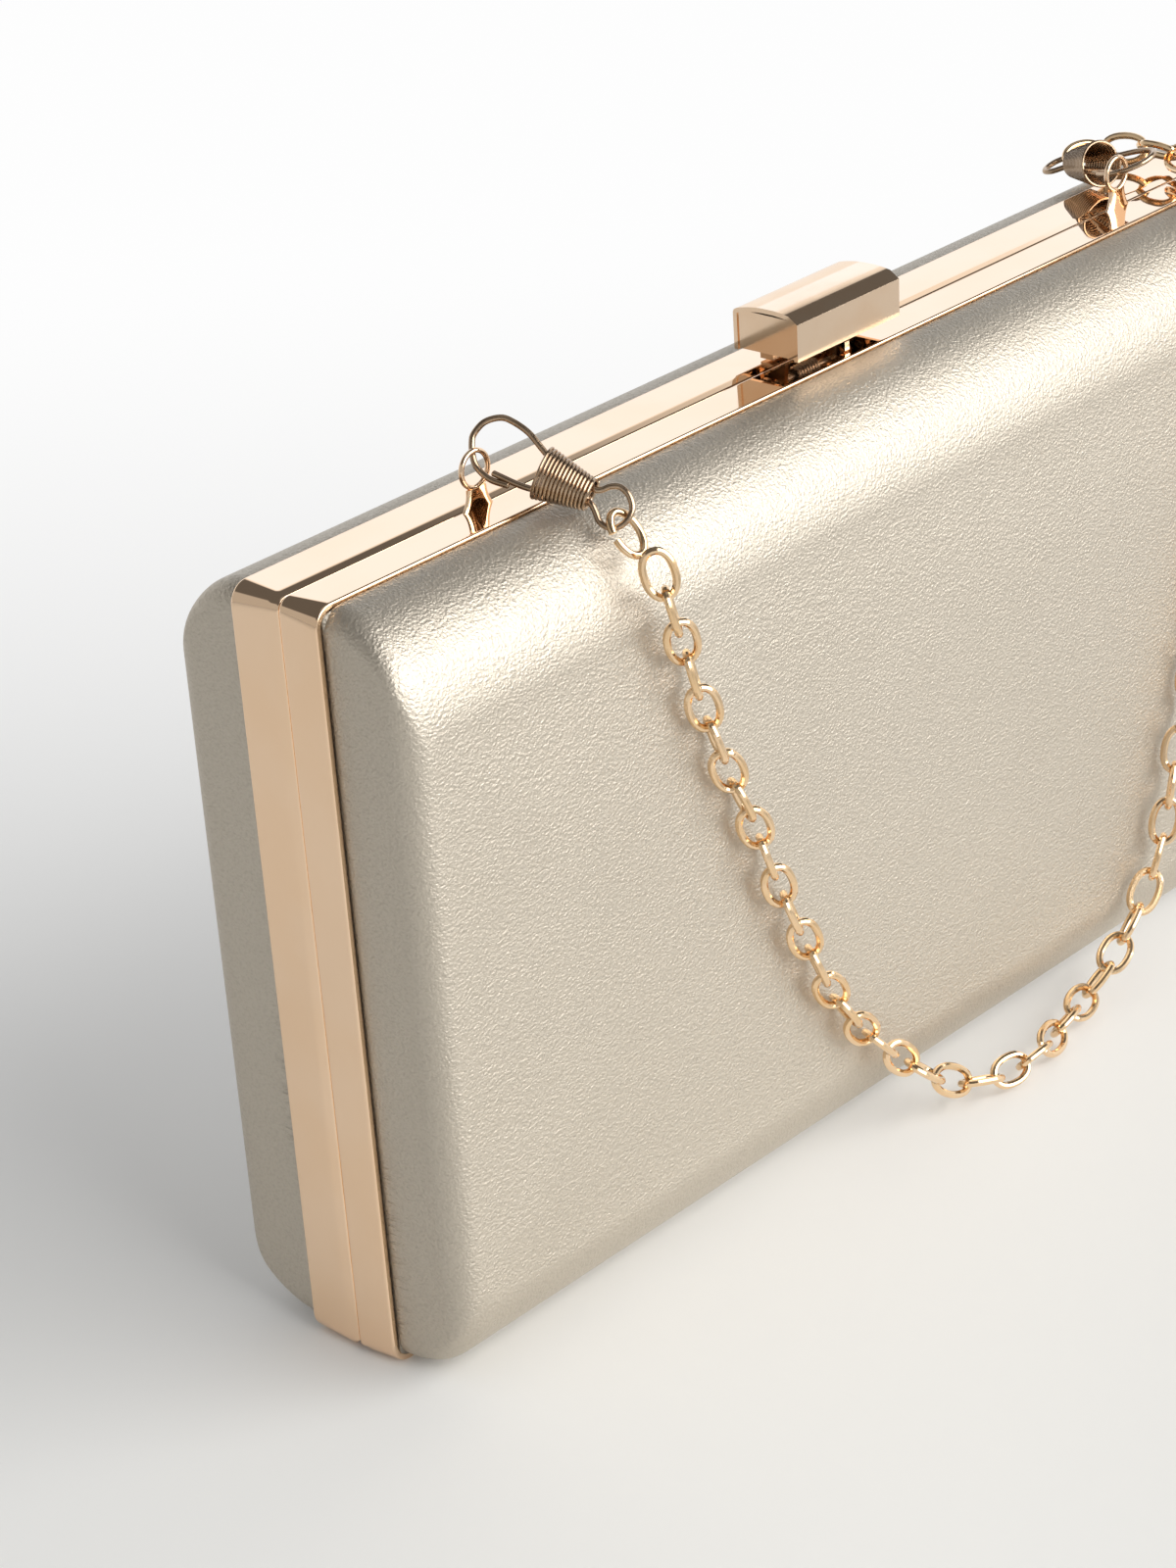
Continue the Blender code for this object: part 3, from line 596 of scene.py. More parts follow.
@dataclass(frozen=True)
class PolishedPlate:
    """Polished plated metal with faint smears and a barely wavy surface.

    Attributes:
        name: Name of the material.
        bright: Colour of the clean plate.
        warm: Colour where the plate is a touch thicker.
        gloss: Lowest and highest roughness.
        patch: Repeats of the smears per metre.
        waver: Height of the slow waves in the surface, in metres.
        fine_ratio: Repeats of the fine smears in one coarse one.
        fine_share: Share of the fine smears in the roughness.
        wave_ratio: Repeats of the waves in one smear.
        smear_span: Span of the smears over which the colour turns warm.
        gloss_span: Span of the smears over which the roughness rises.
    """

    name: str
    bright: Colour
    warm: Colour
    gloss: Span
    patch: float
    waver: float
    fine_ratio: float = 14.0
    fine_share: float = 0.3
    wave_ratio: float = 0.6
    smear_span: Span = (0.35, 0.7)
    gloss_span: Span = (0.3, 0.7)

    def make(self) -> bpy.types.Material:
        """Build the material.

        Returns:
            The finished material.
        """
        graph = FinishGraph(self.name)
        smear = graph.noise(self.patch, detail=4.0)
        fine = graph.noise(self.patch * self.fine_ratio, detail=2.0)
        coarse_part = graph.math("MULTIPLY", smear, 1 - self.fine_share)
        mixed = graph.math("ADD", coarse_part, graph.math("MULTIPLY", fine, self.fine_share))
        colour = graph.blend(graph.remap(smear, *self.smear_span, 0.0, 1.0), self.bright, self.warm)
        rough = graph.remap(mixed, *self.gloss_span, *self.gloss)
        slow = graph.bump(graph.noise(self.patch * self.wave_ratio, detail=1.0), self.waver)
        return graph.shade(Base_Color=colour, Metallic=1.0, Roughness=rough, Normal=slow)


@dataclass(frozen=True)
class DrawnWire:
    """Plated or bare drawn wire: fine die lines and darker patches.

    Attributes:
        name: Name of the material.
        bright: Colour on the open surface.
        dark: Colour of the tarnished patches.
        gloss: Lowest and highest roughness.
        grain: Repeats of the fine lines per metre.
        patch: Repeats of the patches per metre.
        patch_span: Span of the noise over which the patches darken.
        gloss_span: Span of the lines over which the roughness rises.
        line_depth: Height of the lines, in metres.
        line_strength: Share of their effect.
    """

    name: str
    bright: Colour
    dark: Colour
    gloss: Span
    grain: float
    patch: float = 260.0
    patch_span: Span = (0.38, 0.66)
    gloss_span: Span = (0.3, 0.7)
    line_depth: float = 0.012 * MM
    line_strength: float = 0.5

    def make(self) -> bpy.types.Material:
        """Build the material.

        Returns:
            The finished material.
        """
        graph = FinishGraph(self.name)
        patches = graph.noise(self.patch, detail=4.0)
        lines = graph.noise(self.grain, detail=2.0)
        colour = graph.blend(graph.remap(patches, *self.patch_span, 0.0, 1.0), self.bright, self.dark)
        rough = graph.remap(lines, *self.gloss_span, *self.gloss)
        normal = graph.bump(lines, self.line_depth, self.line_strength)
        return graph.shade(Base_Color=colour, Metallic=1.0, Roughness=rough, Normal=normal)


@dataclass(frozen=True)
class FoilLeather:
    """Fine grained leather under a thin pewter foil, creased where it turns in, with shade painted into its
    grain's valleys, its creases and beside the rim.

    Pattern coordinates give the length round the rim and the distance from it.

    Attributes:
        name: Name of the material.
        high: Colour of the foil on the crowns of the grain.
        low: Dark colour painted as shade into the grain's valleys, the creases and beside the rim.
        aged: Colour of the slow cloudy patches.
        grain: Repeats of the pebble grain per metre.
        gloss: Roughness in the grain and on its crowns.
        foil: How metallic the foil is.
        lustre: Strength of the plain gloss under the foil.
        warp_ratio: Repeats of the bending of the grain in one pebble.
        warp_share: Share of the bending.
        cell_softness: How softly the pebbles meet.
        cell_span: Distances from a pebble's middle over which it falls.
        cell_share: Height of the pebbles beside the folds.
        fold_ratio: Repeats of the folds in one pebble.
        fold_stretch: Scale of the folds along each axis.
        pore_ratio: Repeats of the pores in one pebble.
        pore_share: Height of the pores beside the folds.
        grain_depth: Height of the grain, in metres.
        grain_strength: Share of its effect.
        valley_painted_shade_span: Heights over which the painted shade in the grain's valleys clears.
        valley_painted_shade: Share of the low colour painted into the grain's valleys as shade.
        gloss_span: Heights over which the roughness falls.
        crease_stretch: Repeats of the creases along the rim and away from it.
        crease_reach: Distances from the rim over which the creases end.
        crease_span: Span of the noise over which a crease begins.
        crease_depth: Depth of the creases, in metres.
        crease_painted_shade: Share of the low colour painted into the creases as shade.
        place_repeat: Repeats per metre of the places that are creased.
        place_span: Span of the noise over which such a place begins.
        cloud_repeat: Repeats of the cloudy patches per metre.
        cloud_span: Span of the noise over which a patch begins.
        cloud_share: Share of the aged colour in a patch.
        rim_painted_shade_reach: How far the painted shade beside the rim goes.
        rim_painted_shade: Share of the low colour in that painted shade.
        swell_repeat: Repeats per metre of the slow swells in the surface.
        swell_depth: Height of the swells, in metres.
    """

    name: str
    high: Colour
    low: Colour
    aged: Colour
    grain: float
    gloss: Span = (0.54, 0.46)
    foil: float = 0.94
    lustre: float = 0.4
    warp_ratio: float = 0.45
    warp_share: float = 0.0003
    cell_softness: float = 0.35
    cell_span: Span = (0.1, 0.75)
    cell_share: float = 0.3
    fold_ratio: float = 0.7
    fold_stretch: Point = (1.0, 1.0, 1.5)
    pore_ratio: float = 2.2
    pore_share: float = 0.25
    grain_depth: float = 0.165 * MM
    grain_strength: float = 0.9
    # painted shade: share of the dark colour laid into the grain's valleys
    valley_painted_shade_span: Span = (0.45, 0.75)
    valley_painted_shade: float = 0.12
    gloss_span: Span = (0.5, 0.95)
    crease_stretch: Point = (2000.0, 240.0, 1.0)
    crease_reach: Span = (0.5 * MM, 4.5 * MM)
    crease_span: Span = (0.52, 0.66)
    crease_depth: float = 0.12 * MM
    # painted shade: share of the dark colour laid into the creases
    crease_painted_shade: float = 0.16
    place_repeat: float = 26.0
    place_span: Span = (0.50, 0.66)
    cloud_repeat: float = 22.0
    cloud_span: Span = (0.35, 0.7)
    cloud_share: float = 0.55
    # painted shade: dark line where the leather turns in under the rim
    rim_painted_shade_reach: float = 1.1 * MM
    rim_painted_shade: float = 0.75
    swell_repeat: float = 42.0
    swell_depth: float = 0.12 * MM

    def grain_height(self, graph: FinishGraph) -> bpy.types.NodeSocket:
        """Add pebbles, folds and pores on slightly bent coordinates.

        Args:
            graph: Nodes of the material.

        Returns:
            Height of the grain.
        """
        soft = graph.add("ShaderNodeTexNoise")
        graph.feed(graph.place, soft.inputs["Vector"])
        soft.inputs["Scale"].default_value = self.grain * self.warp_ratio
        warp = graph.add("ShaderNodeMix", data_type="VECTOR")
        warp.inputs["Factor"].default_value = self.warp_share
        one, two = [item for item in warp.inputs if item.type == "VECTOR" and item.name in ("A", "B")]
        graph.feed(graph.place, one)
        graph.feed(soft.outputs["Color"], two)
        bent = [item for item in warp.outputs if item.type == "VECTOR"][0]
        cells = graph.cells(self.grain, bent, self.cell_softness)
        pebbles = graph.math("MULTIPLY", graph.remap(cells, *self.cell_span, 1.0, 0.0), self.cell_share)
        stretched = graph.stretch(bent, self.fold_stretch)
        folds = graph.noise(self.grain * self.fold_ratio, detail=4.0, place=stretched)
        pores = graph.noise(self.grain * self.pore_ratio, detail=2.0)
        pores = graph.math("MULTIPLY", pores, self.pore_share)
        return graph.math("ADD", graph.math("ADD", pebbles, folds), pores)

    def creases(self, graph: FinishGraph, from_rim: bpy.types.NodeSocket) -> bpy.types.NodeSocket:
        """Add fine creases that run from the rim in some places and soon end.

        Args:
            graph: Nodes of the material.
            from_rim: Distance from the rim.

        Returns:
            Depth of the creases between zero and one.
        """
        across = graph.noise(1.0, place=graph.stretch(graph.spot, self.crease_stretch))
        near = graph.remap(from_rim, *self.crease_reach, 1.0, 0.0)
        places = graph.noise(self.place_repeat, detail=2.0)
        places = graph.remap(places, *self.place_span, 0.0, 1.0)
        crease = graph.remap(across, *self.crease_span, 0.0, 1.0)
        return graph.math("MULTIPLY", graph.math("MULTIPLY", crease, near), places)

    def make(self) -> bpy.types.Material:
        """Build the material.

        Returns:
            The finished material.
        """
        graph = FinishGraph(self.name)
        spots = graph.add("ShaderNodeSeparateXYZ")
        graph.feed(graph.spot, spots.inputs["Vector"])
        from_rim = spots.outputs["Y"]
        height = self.grain_height(graph)
        crease = self.creases(graph, from_rim)

        clouds = graph.noise(self.cloud_repeat, detail=2.0)
        clouds = graph.remap(clouds, *self.cloud_span, 0.0, self.cloud_share)
        colour = graph.blend(clouds, self.high, self.aged)
        # painted shade: the colour darkens in the grain's valleys, where shade would fall
        painted_valley_mask = graph.remap(height, *self.valley_painted_shade_span, self.valley_painted_shade, 0.0)
        # painted shade: the leather darkens next to the rim, where it turns in under the metal
        edge = graph.remap(from_rim, 0.0, self.rim_painted_shade_reach, self.rim_painted_shade, 0.0)
        # painted shade laid into the grain's valleys, the creases and beside the rim
        for share in (painted_valley_mask, graph.math("MULTIPLY", crease, self.crease_painted_shade), edge):
            colour = graph.blend(share, colour, self.low)

        rough = graph.remap(height, *self.gloss_span, *self.gloss)
        relief = graph.bump(graph.noise(self.swell_repeat, detail=2.0), self.swell_depth)
        relief = graph.bump(crease, -self.crease_depth, 1.0, relief)
        relief = graph.bump(height, self.grain_depth, self.grain_strength, relief)
        return graph.shade(
            Base_Color=colour,
            Metallic=self.foil,
            Roughness=rough,
            Normal=relief,
            Specular_IOR_Level=self.lustre,
        )


@dataclass(frozen=True)
class SatinLining:
    """Woven lining cloth: a fine twill with a soft slub.

    Attributes:
        name: Name of the material.
        face: Colour of the raised threads.
        shade: Colour between the threads.
        threads: Threads per metre.
        band: Threads in one wave of the pattern.
        bends: Scales that turn the waves to the two diagonals.
        distortion: How far the waves waver.
        weave_span: Span of the weave over which the threads brighten.
        weave_depth: Height of the threads, in metres.
        weave_strength: Share of their effect.
        slub: Repeats of the slub per metre.
        slub_span: Span of the slub over which it darkens.
        slub_share: Share of the darker colour in it.
        gloss: Lowest and highest roughness.
        gloss_span: Span of the slub over which the roughness rises.
        sheen: Soft shine of the cloth against the light.
    """

    name: str
    face: Colour
    shade: Colour
    threads: float
    band: float = 7.0
    bends: tuple[Point, Point] = ((1.0, 0.55, 1.0), (1.0, -0.9, -1.0))
    distortion: float = 0.6
    weave_span: Span = (0.1, 0.7)
    weave_depth: float = 0.03 * MM
    weave_strength: float = 0.6
    slub: float = 140.0
    slub_span: Span = (0.4, 0.7)
    slub_share: float = 0.35
    gloss: Span = (0.55, 0.75)
    gloss_span: Span = (0.3, 0.7)
    sheen: float = 0.25

    def make(self) -> bpy.types.Material:
        """Build the material.

        Returns:
            The finished material.
        """
        graph = FinishGraph(self.name)
        waves = []
        for bend in self.bends:
            node = graph.add("ShaderNodeTexWave", wave_type="BANDS", bands_direction="DIAGONAL")
            graph.feed(graph.stretch(graph.place, bend), node.inputs["Vector"])
            node.inputs["Scale"].default_value = self.threads / self.band
            node.inputs["Distortion"].default_value = self.distortion
            waves.append(node.outputs["Fac"])
        weave = graph.math("MULTIPLY", *waves)
        slub = graph.noise(self.slub, detail=4.0)
        colour = graph.blend(graph.remap(weave, *self.weave_span, 0.0, 1.0), self.shade, self.face)
        colour = graph.blend(graph.remap(slub, *self.slub_span, 0.0, self.slub_share), colour, self.shade)
        rough = graph.remap(slub, *self.gloss_span, *self.gloss)
        normal = graph.bump(weave, self.weave_depth, self.weave_strength)
        return graph.shade(
            Base_Color=colour, Metallic=0.0, Roughness=rough, Normal=normal, Sheen_Weight=self.sheen
        )


@dataclass(frozen=True)
class MouldedBoard:
    """Moulded board of the hidden stiff shell: fibrous and matt.

    Attributes:
        name: Name of the material.
        face: Main colour.
        fleck: Colour of the fibres.
        fibre: Repeats of the fibres per metre.
        fibre_stretch: Scale of the fibres along each axis.
        fleck_span: Span of the fibres over which the colour changes.
        fibre_depth: Height of the fibres, in metres.
        fibre_strength: Share of their effect.
        gloss: Lowest and highest roughness.
        gloss_span: Span of the fibres over which the roughness rises.
    """

    name: str
    face: Colour
    fleck: Colour
    fibre: float = 900.0
    fibre_stretch: Point = (1.0, 0.3, 0.4)
    fleck_span: Span = (0.45, 0.65)
    fibre_depth: float = 0.06 * MM
    fibre_strength: float = 0.6
    gloss: Span = (0.6, 0.8)
    gloss_span: Span = (0.3, 0.7)

    def make(self) -> bpy.types.Material:
        """Build the material.

        Returns:
            The finished material.
        """
        graph = FinishGraph(self.name)
        stretched = graph.stretch(graph.place, self.fibre_stretch)
        fibre = graph.noise(self.fibre, detail=4.0, place=stretched)
        colour = graph.blend(graph.remap(fibre, *self.fleck_span, 0.0, 1.0), self.face, self.fleck)
        normal = graph.bump(fibre, self.fibre_depth, self.fibre_strength)
        rough = graph.remap(fibre, *self.gloss_span, *self.gloss)
        return graph.shade(Base_Color=colour, Metallic=0.0, Roughness=rough, Normal=normal)


class Finish(Enum):
    """Every finish of the clutch, with the record's slot it belongs to."""

    RIM = (
        "rose_gold_metal",
        PolishedPlate(
            name="rim_plate",
            bright=(0.95, 0.70, 0.49),
            warm=(0.935, 0.67, 0.45),
            gloss=(0.02, 0.07),
            patch=55.0,
            waver=0.02 * MM,
        ),
    )
    CHAIN = (
        "chain_metal",
        PolishedPlate(
            name="chain_plate",
            bright=(0.91, 0.67, 0.43),
            warm=(0.87, 0.61, 0.35),
            gloss=(0.08, 0.18),
            patch=240.0,
            waver=0.01 * MM,
        ),
    )
    CLASP = (
        "clasp_metal",
        PolishedPlate(
            name="clasp_plate",
            bright=(0.96, 0.735, 0.535),
            warm=(0.93, 0.68, 0.47),
            gloss=(0.05, 0.12),
            patch=120.0,
            waver=0.012 * MM,
        ),
    )
    BRONZE = (
        "bronze_wire",
        DrawnWire(
            name="bronze_plate",
            bright=(0.52, 0.38, 0.26),
            dark=(0.38, 0.27, 0.18),
            gloss=(0.12, 0.26),
            grain=4200.0,
        ),
    )
    HINGE = (
        "hinge_brass",
        PolishedPlate(
            name="hinge_plate",
            bright=(0.78, 0.55, 0.36),
            warm=(0.70, 0.47, 0.29),
            gloss=(0.22, 0.36),
            patch=300.0,
            waver=0.01 * MM,
        ),
    )
    STEEL = (
        "pin_steel",
        DrawnWire(
            name="pin_steel",
            bright=(0.62, 0.62, 0.63),
            dark=(0.48, 0.48, 0.50),
            gloss=(0.2, 0.38),
            grain=5200.0,
        ),
    )
    LEATHER = (
        "pewter_leather",
        FoilLeather(
            name="foil_leather",
            high=(0.59, 0.535, 0.455),
            # painted shade colour for the grain's valleys, the creases and beside the rim
            low=(0.25, 0.22, 0.18),
            aged=(0.565, 0.51, 0.43),
            grain=2200.0,
        ),
    )
    BOARD = (
        "case_board",
        MouldedBoard(name="moulded_board", face=(0.10, 0.095, 0.09), fleck=(0.17, 0.16, 0.145)),
    )
    LINING = (
        "lining_fabric",
        SatinLining(
            name="satin_lining", face=(0.47, 0.41, 0.35), shade=(0.27, 0.225, 0.185), threads=3200.0
        ),
    )

    @property
    def slot(self) -> str:
        """Name of the record's material slot."""
        return self.value[0]

    @property
    def material(self) -> bpy.types.Material:
        """The one material of this finish, built on first use."""
        recipe = self.value[1]
        return bpy.data.materials.get(recipe.name) or recipe.make()


def place_piece(
    piece: bpy.types.Object, body: Body, finish: Finish, replaces: tuple[str, ...] = ()
) -> bpy.types.Object:
    """Dress a piece, put it on its body and let it stand for CAD nodes.

    Args:
        piece: The finished object at the origin.
        body: Body that carries it.
        finish: Its finish.
        replaces: Names of the CAD nodes that it stands for.

    Returns:
        The same object.
    """
    piece.data.materials.clear()
    piece.data.materials.append(finish.material)
    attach(piece, body.value)
    if replaces:
        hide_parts(*replaces)
    faces = len(piece.data.polygons)
    LOG.info("%s rides on %s in %s, %d faces", piece.name, body.value, finish.name.lower(), faces)
    return piece


def dress_node(name: str, finish: Finish) -> None:
    """Give a CAD node that stays in view its finish.

    Args:
        name: Name of the node.
        finish: Its finish.
    """
    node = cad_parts[name]
    node.data.materials.clear()
    node.data.materials.append(finish.material)
    LOG.info("%s keeps its CAD shape in %s", name, finish.name.lower())


# The case


@dataclass
class CaseShape:
    """Sizes of the case that its rims, leather and lining share."""

    length: float = 222 * MM
    height: float = 115 * MM
    shell_depth: float = 14.6 * MM
    seat_gap: float = 0.3 * MM
    front_rim: float = 7 * MM
    rear_rim: float = 9 * MM
    rim_radius: float = 2.5 * MM
    parting_radius: float = 2.0 * MM
    outer_radius: float = 3.1 * MM
    web_radius: float = 0.8 * MM
    top_inset: float = 0.5 * MM
    bottom_inset: float = 0.5 * MM
    side_inset: float = 1.1 * MM
    top_shoulder: float = 16.5 * MM
    bottom_shoulder: float = 13 * MM
    end_round: float = 4.2 * MM
    least_end_round: float = 0.3 * MM
    contour_radius: float = 3.6 * MM
    crown: float = 0.6 * MM
    crown_start: float = 0.06
    middle_radius: float = 0.05 * MM
    hinge_axis_height: float = 1.5 * MM
    relief_lift: float = 0.3 * MM
    relief_angle: float = 47 * DEG

    def rim_depth(self, half: Half) -> float:
        """Depth of a half's rim from the parting plane."""
        return self.front_rim if half is Half.FRONT else self.rear_rim

    def contours(
        self,
        sides: Array,
        lows: Array,
        highs: Array,
        radii: Array,
        corner_steps: int,
        long_marks: Array,
        short_marks: Array,
    ) -> Array:
        """Place rounded rectangles drawn in from the case's outline.

        A corner point is the corner's centre + radius * (cos a, sin a) over a
        quarter turn; a straight's point is A + (B - A) * mark between two arcs.

        Args:
            sides: How far each rectangle draws in at the two ends.
            lows: How far each draws in at the bottom.
            highs: How far each draws in at the top.
            radii: Corner radius of each.
            corner_steps: Count of chords in a corner.
            long_marks: Shares of the way along the top and bottom.
            short_marks: Shares of the way along the two ends.

        Returns:
            X and Z of every point, one row per rectangle.
        """
        half = (self.length / 2 - sides)[:, None]
        low, high = lows[:, None], (self.height - highs)[:, None]
        radius = radii[:, None]
        turn = np.linspace(0, 90 * DEG, corner_steps + 1)[None]
        corners = []
        for across, upright, start in ((1, -1, -90), (1, 1, 0), (-1, 1, 90), (-1, -1, 180)):
            x = across * (half - radius) + radius * np.cos(turn + start * DEG)
            middle = low + radius if upright < 0 else high - radius
            corners.append(np.stack([x, middle + radius * np.sin(turn + start * DEG)], axis=-1))
        runs = []
        for index, marks in enumerate((short_marks, long_marks, short_marks, long_marks)):
            one, two = corners[index][:, -1:], corners[(index + 1) % 4][:, :1]
            runs += [corners[index], one + (two - one) * marks[None, :, None]]
        return np.concatenate(runs, axis=1)

    def shoulder(self, offset: float, turn: Array) -> tuple[Array, Array, Array]:
        """Carry a layer's contour from the rim to the edge of the face.

        At turn t the top and bottom draw in by 1 - cos t of their shoulders and the
        depth d is sin t of the full depth D. An end wall stays flat and then rounds
        over by r (1 - sqrt(1 - s^2)), with s = 1 + (d - D) / r where that is above 0.

        Args:
            offset: Distance of the layer under the leather's surface.
            turn: Turns from 0 to 90 degrees.

        Returns:
            Insets at the ends, bottom and top, then depths, then corner radii.
        """
        swell = 1 - np.cos(turn)
        full = self.shell_depth - self.crown - offset
        depth = full * np.sin(turn)
        radius = max(self.end_round - offset, self.least_end_round)
        share = np.clip(1 + (depth - full) / radius, 0, 1)
        ends = self.side_inset + offset + radius * (1 - np.sqrt(1 - share**2))
        low = self.bottom_inset + offset + (self.bottom_shoulder - offset) * swell
        high = self.top_inset + offset + (self.top_shoulder - offset) * swell
        radii = np.full(len(turn), max(self.contour_radius - offset, self.web_radius))
        return np.stack([ends, low, high], axis=1), depth, radii

    def face(self, edge: Array, depth: float, way: Array) -> tuple[Array, Array, Array]:
        """Carry a layer's contour from the edge of the face to its middle.

        The contour draws in evenly, and the depth grows by the crown times
        1 - (1 - e)^3 on the way w to the middle, with e = (1 + c) w^2 / (w + c)
        and a small c, so that the crown starts level.

        Args:
            edge: Insets at the ends, bottom and top where the face begins.
            depth: Depth there.
            way: Shares of the way to the middle.

        Returns:
            Insets, depths and corner radii, as for the shoulder.
        """
        reach = (self.height - edge[1] - edge[2]) / 2 * way
        eased = (1 + self.crown_start) * way**2 / (way + self.crown_start)
        depths = depth + self.crown * (1 - (1 - eased) ** 3)
        radii = self.contour_radius * (1 - way) + self.middle_radius
        return edge[None] + reach[:, None], depths, radii

    def relief_height(self, y: Array) -> Array:
        """Height of the groove under the hinges at a distance from the parting plane."""
        return self.hinge_axis_height + self.relief_lift - np.abs(y) / math.tan(self.relief_angle)


def in_depth(flat: Array, y: Array) -> Array:
    """Give rows of X and Z a depth each.

    Args:
        flat: X and Z in rows.
        y: Depth of each row.

    Returns:
        Positions in rows.
    """
    depth = np.broadcast_to(y[:, None], flat.shape[:2])
    return np.stack([flat[..., 0], depth, flat[..., 1]], axis=-1)


def inner_marks(steps: int) -> Array:
    """Shares of the way along a straight that is cut into even steps, without its ends."""
    return np.linspace(0, 1, steps + 1)[1:-1]


@dataclass
class Rim:
    """One polished rim: a band round the case with a web along the parting plane."""

    case: CaseShape
    half: Half
    band: float = 1.0 * MM
    web: float = 1.8 * MM
    web_reach: float = 4.0 * MM
    parting: float = 0.08 * MM
    facet_width: float = 1.7 * MM
    facet_drop: float = 0.2 * MM
    facet_round: float = 0.3 * MM
    parting_round: float = 0.45 * MM
    front_station: float = 1.93 * MM
    edge_rounds: tuple[float, ...] = (0.32 * MM, 0.28 * MM, 0.2 * MM, 0.15 * MM, 0.15 * MM)
    least_round: float = 0.01 * MM
    round_steps: int = 4
    corner_steps: int = 18
    marks: tuple[float, ...] = (0.001, 0.02, 0.25, 0.5, 0.75, 0.98, 0.999)

    def profile(self) -> Array:
        """Section of the rim as inset and depth, with every edge rounded.

        Returns:
            Points of the closed section.
        """
        depth = self.case.rim_depth(self.half)
        back = self.parting + self.web
        if self.half is Half.REAR:
            lead = [(self.facet_drop, self.parting), (0.0, self.parting + self.facet_width)]
            rounds = [self.facet_round, self.facet_round]
        else:
            lead = [(0.0, self.parting), (0.0, self.front_station)]
            rounds = [self.parting_round, self.least_round]
        rest = [(0.0, depth), (self.band, depth), (self.band, back)]
        web = [(self.web_reach, back), (self.web_reach, self.parting)]
        reaches = np.array([*rounds, *self.edge_rounds])
        return soften(np.array(lead + rest + web), reaches, self.round_steps)

    def build(self) -> bpy.types.Object:
        """Carry the section round the case, with the groove under the hinges.

        A point is the rounded rectangle at its inset, at its depth; below the
        groove's slope its height is raised to the slope. The corners are tighter
        at the parting plane than at the rim's far edge.

        Returns:
            The rim's object.
        """
        section = self.profile()
        inset, y = section[:, 0], section[:, 1] * self.half.value
        way = np.clip(np.abs(y) / self.case.rim_depth(self.half), 0, 1)
        corner = self.case.parting_radius * (1 - way) + self.case.outer_radius * way
        radii = np.maximum(corner - inset, self.case.web_radius)
        marks = np.array(self.marks)
        flat = self.case.contours(inset, inset, inset, radii, self.corner_steps, marks, marks)
        flat[..., 1] = np.maximum(flat[..., 1], self.case.relief_height(y)[:, None])
        surface = Surface.from_grid(in_depth(flat, y), wrap_rows=True, wrap_columns=True)
        return surface.to_object(f"{self.half.word}_rim")

    def dress(self) -> None:
        """Build the rim and stand it for its frame."""
        name = f"{self.half.word}_frame"
        place_piece(self.build(), self.half.body, Finish.RIM, (name,))


@dataclass
class HalfLayer:
    """A layer of one half, laid in rows from the rim to the middle of its face."""

    case: CaseShape
    half: Half
    turn_power: float = 1.0
    turn_steps: int = 22
    crown_steps: int = 10
    corner_steps: int = 24
    long_steps: int = 49
    short_steps: int = 21

    def form(self, offset: float) -> tuple[Array, Array, Array]:
        """Follow the case's form from the rim over the shoulder to the middle of the face.

        The shoulder's rows stand at turns of 90 degrees times 1 - (1 - u)^p; a
        power p above one draws them closer together towards the face.

        Args:
            offset: Distance under the leather's outer surface.

        Returns:
            Insets, depths and corner radii of the rows.
        """
        even = np.linspace(0, 1, self.turn_steps + 1)
        turn = 90 * DEG * (1 - (1 - even) ** self.turn_power)
        insets, depth, radii = self.case.shoulder(offset, turn)
        way = np.linspace(0, 1, self.crown_steps + 1)[1:]
        face_insets, face_depth, face_radii = self.case.face(insets[-1], depth[-1], way)
        insets = np.vstack([insets, face_insets])
        return insets, np.concatenate([depth, face_depth]), np.concatenate([radii, face_radii])

    def lay(self, insets: Array, depths: Array, radii: Array) -> Array:
        """Lay the rows out in space.

        Args:
            insets: Insets at the ends, bottom and top of each row.
            depths: How far each row lies beyond the rim.
            radii: Corner radius of each row.

        Returns:
            Positions in rows.
        """
        marks = [inner_marks(steps) for steps in (self.long_steps, self.short_steps)]
        flat = self.case.contours(*insets.T, radii, self.corner_steps, *marks)
        return in_depth(flat, (self.case.rim_depth(self.half) + depths) * self.half.value)


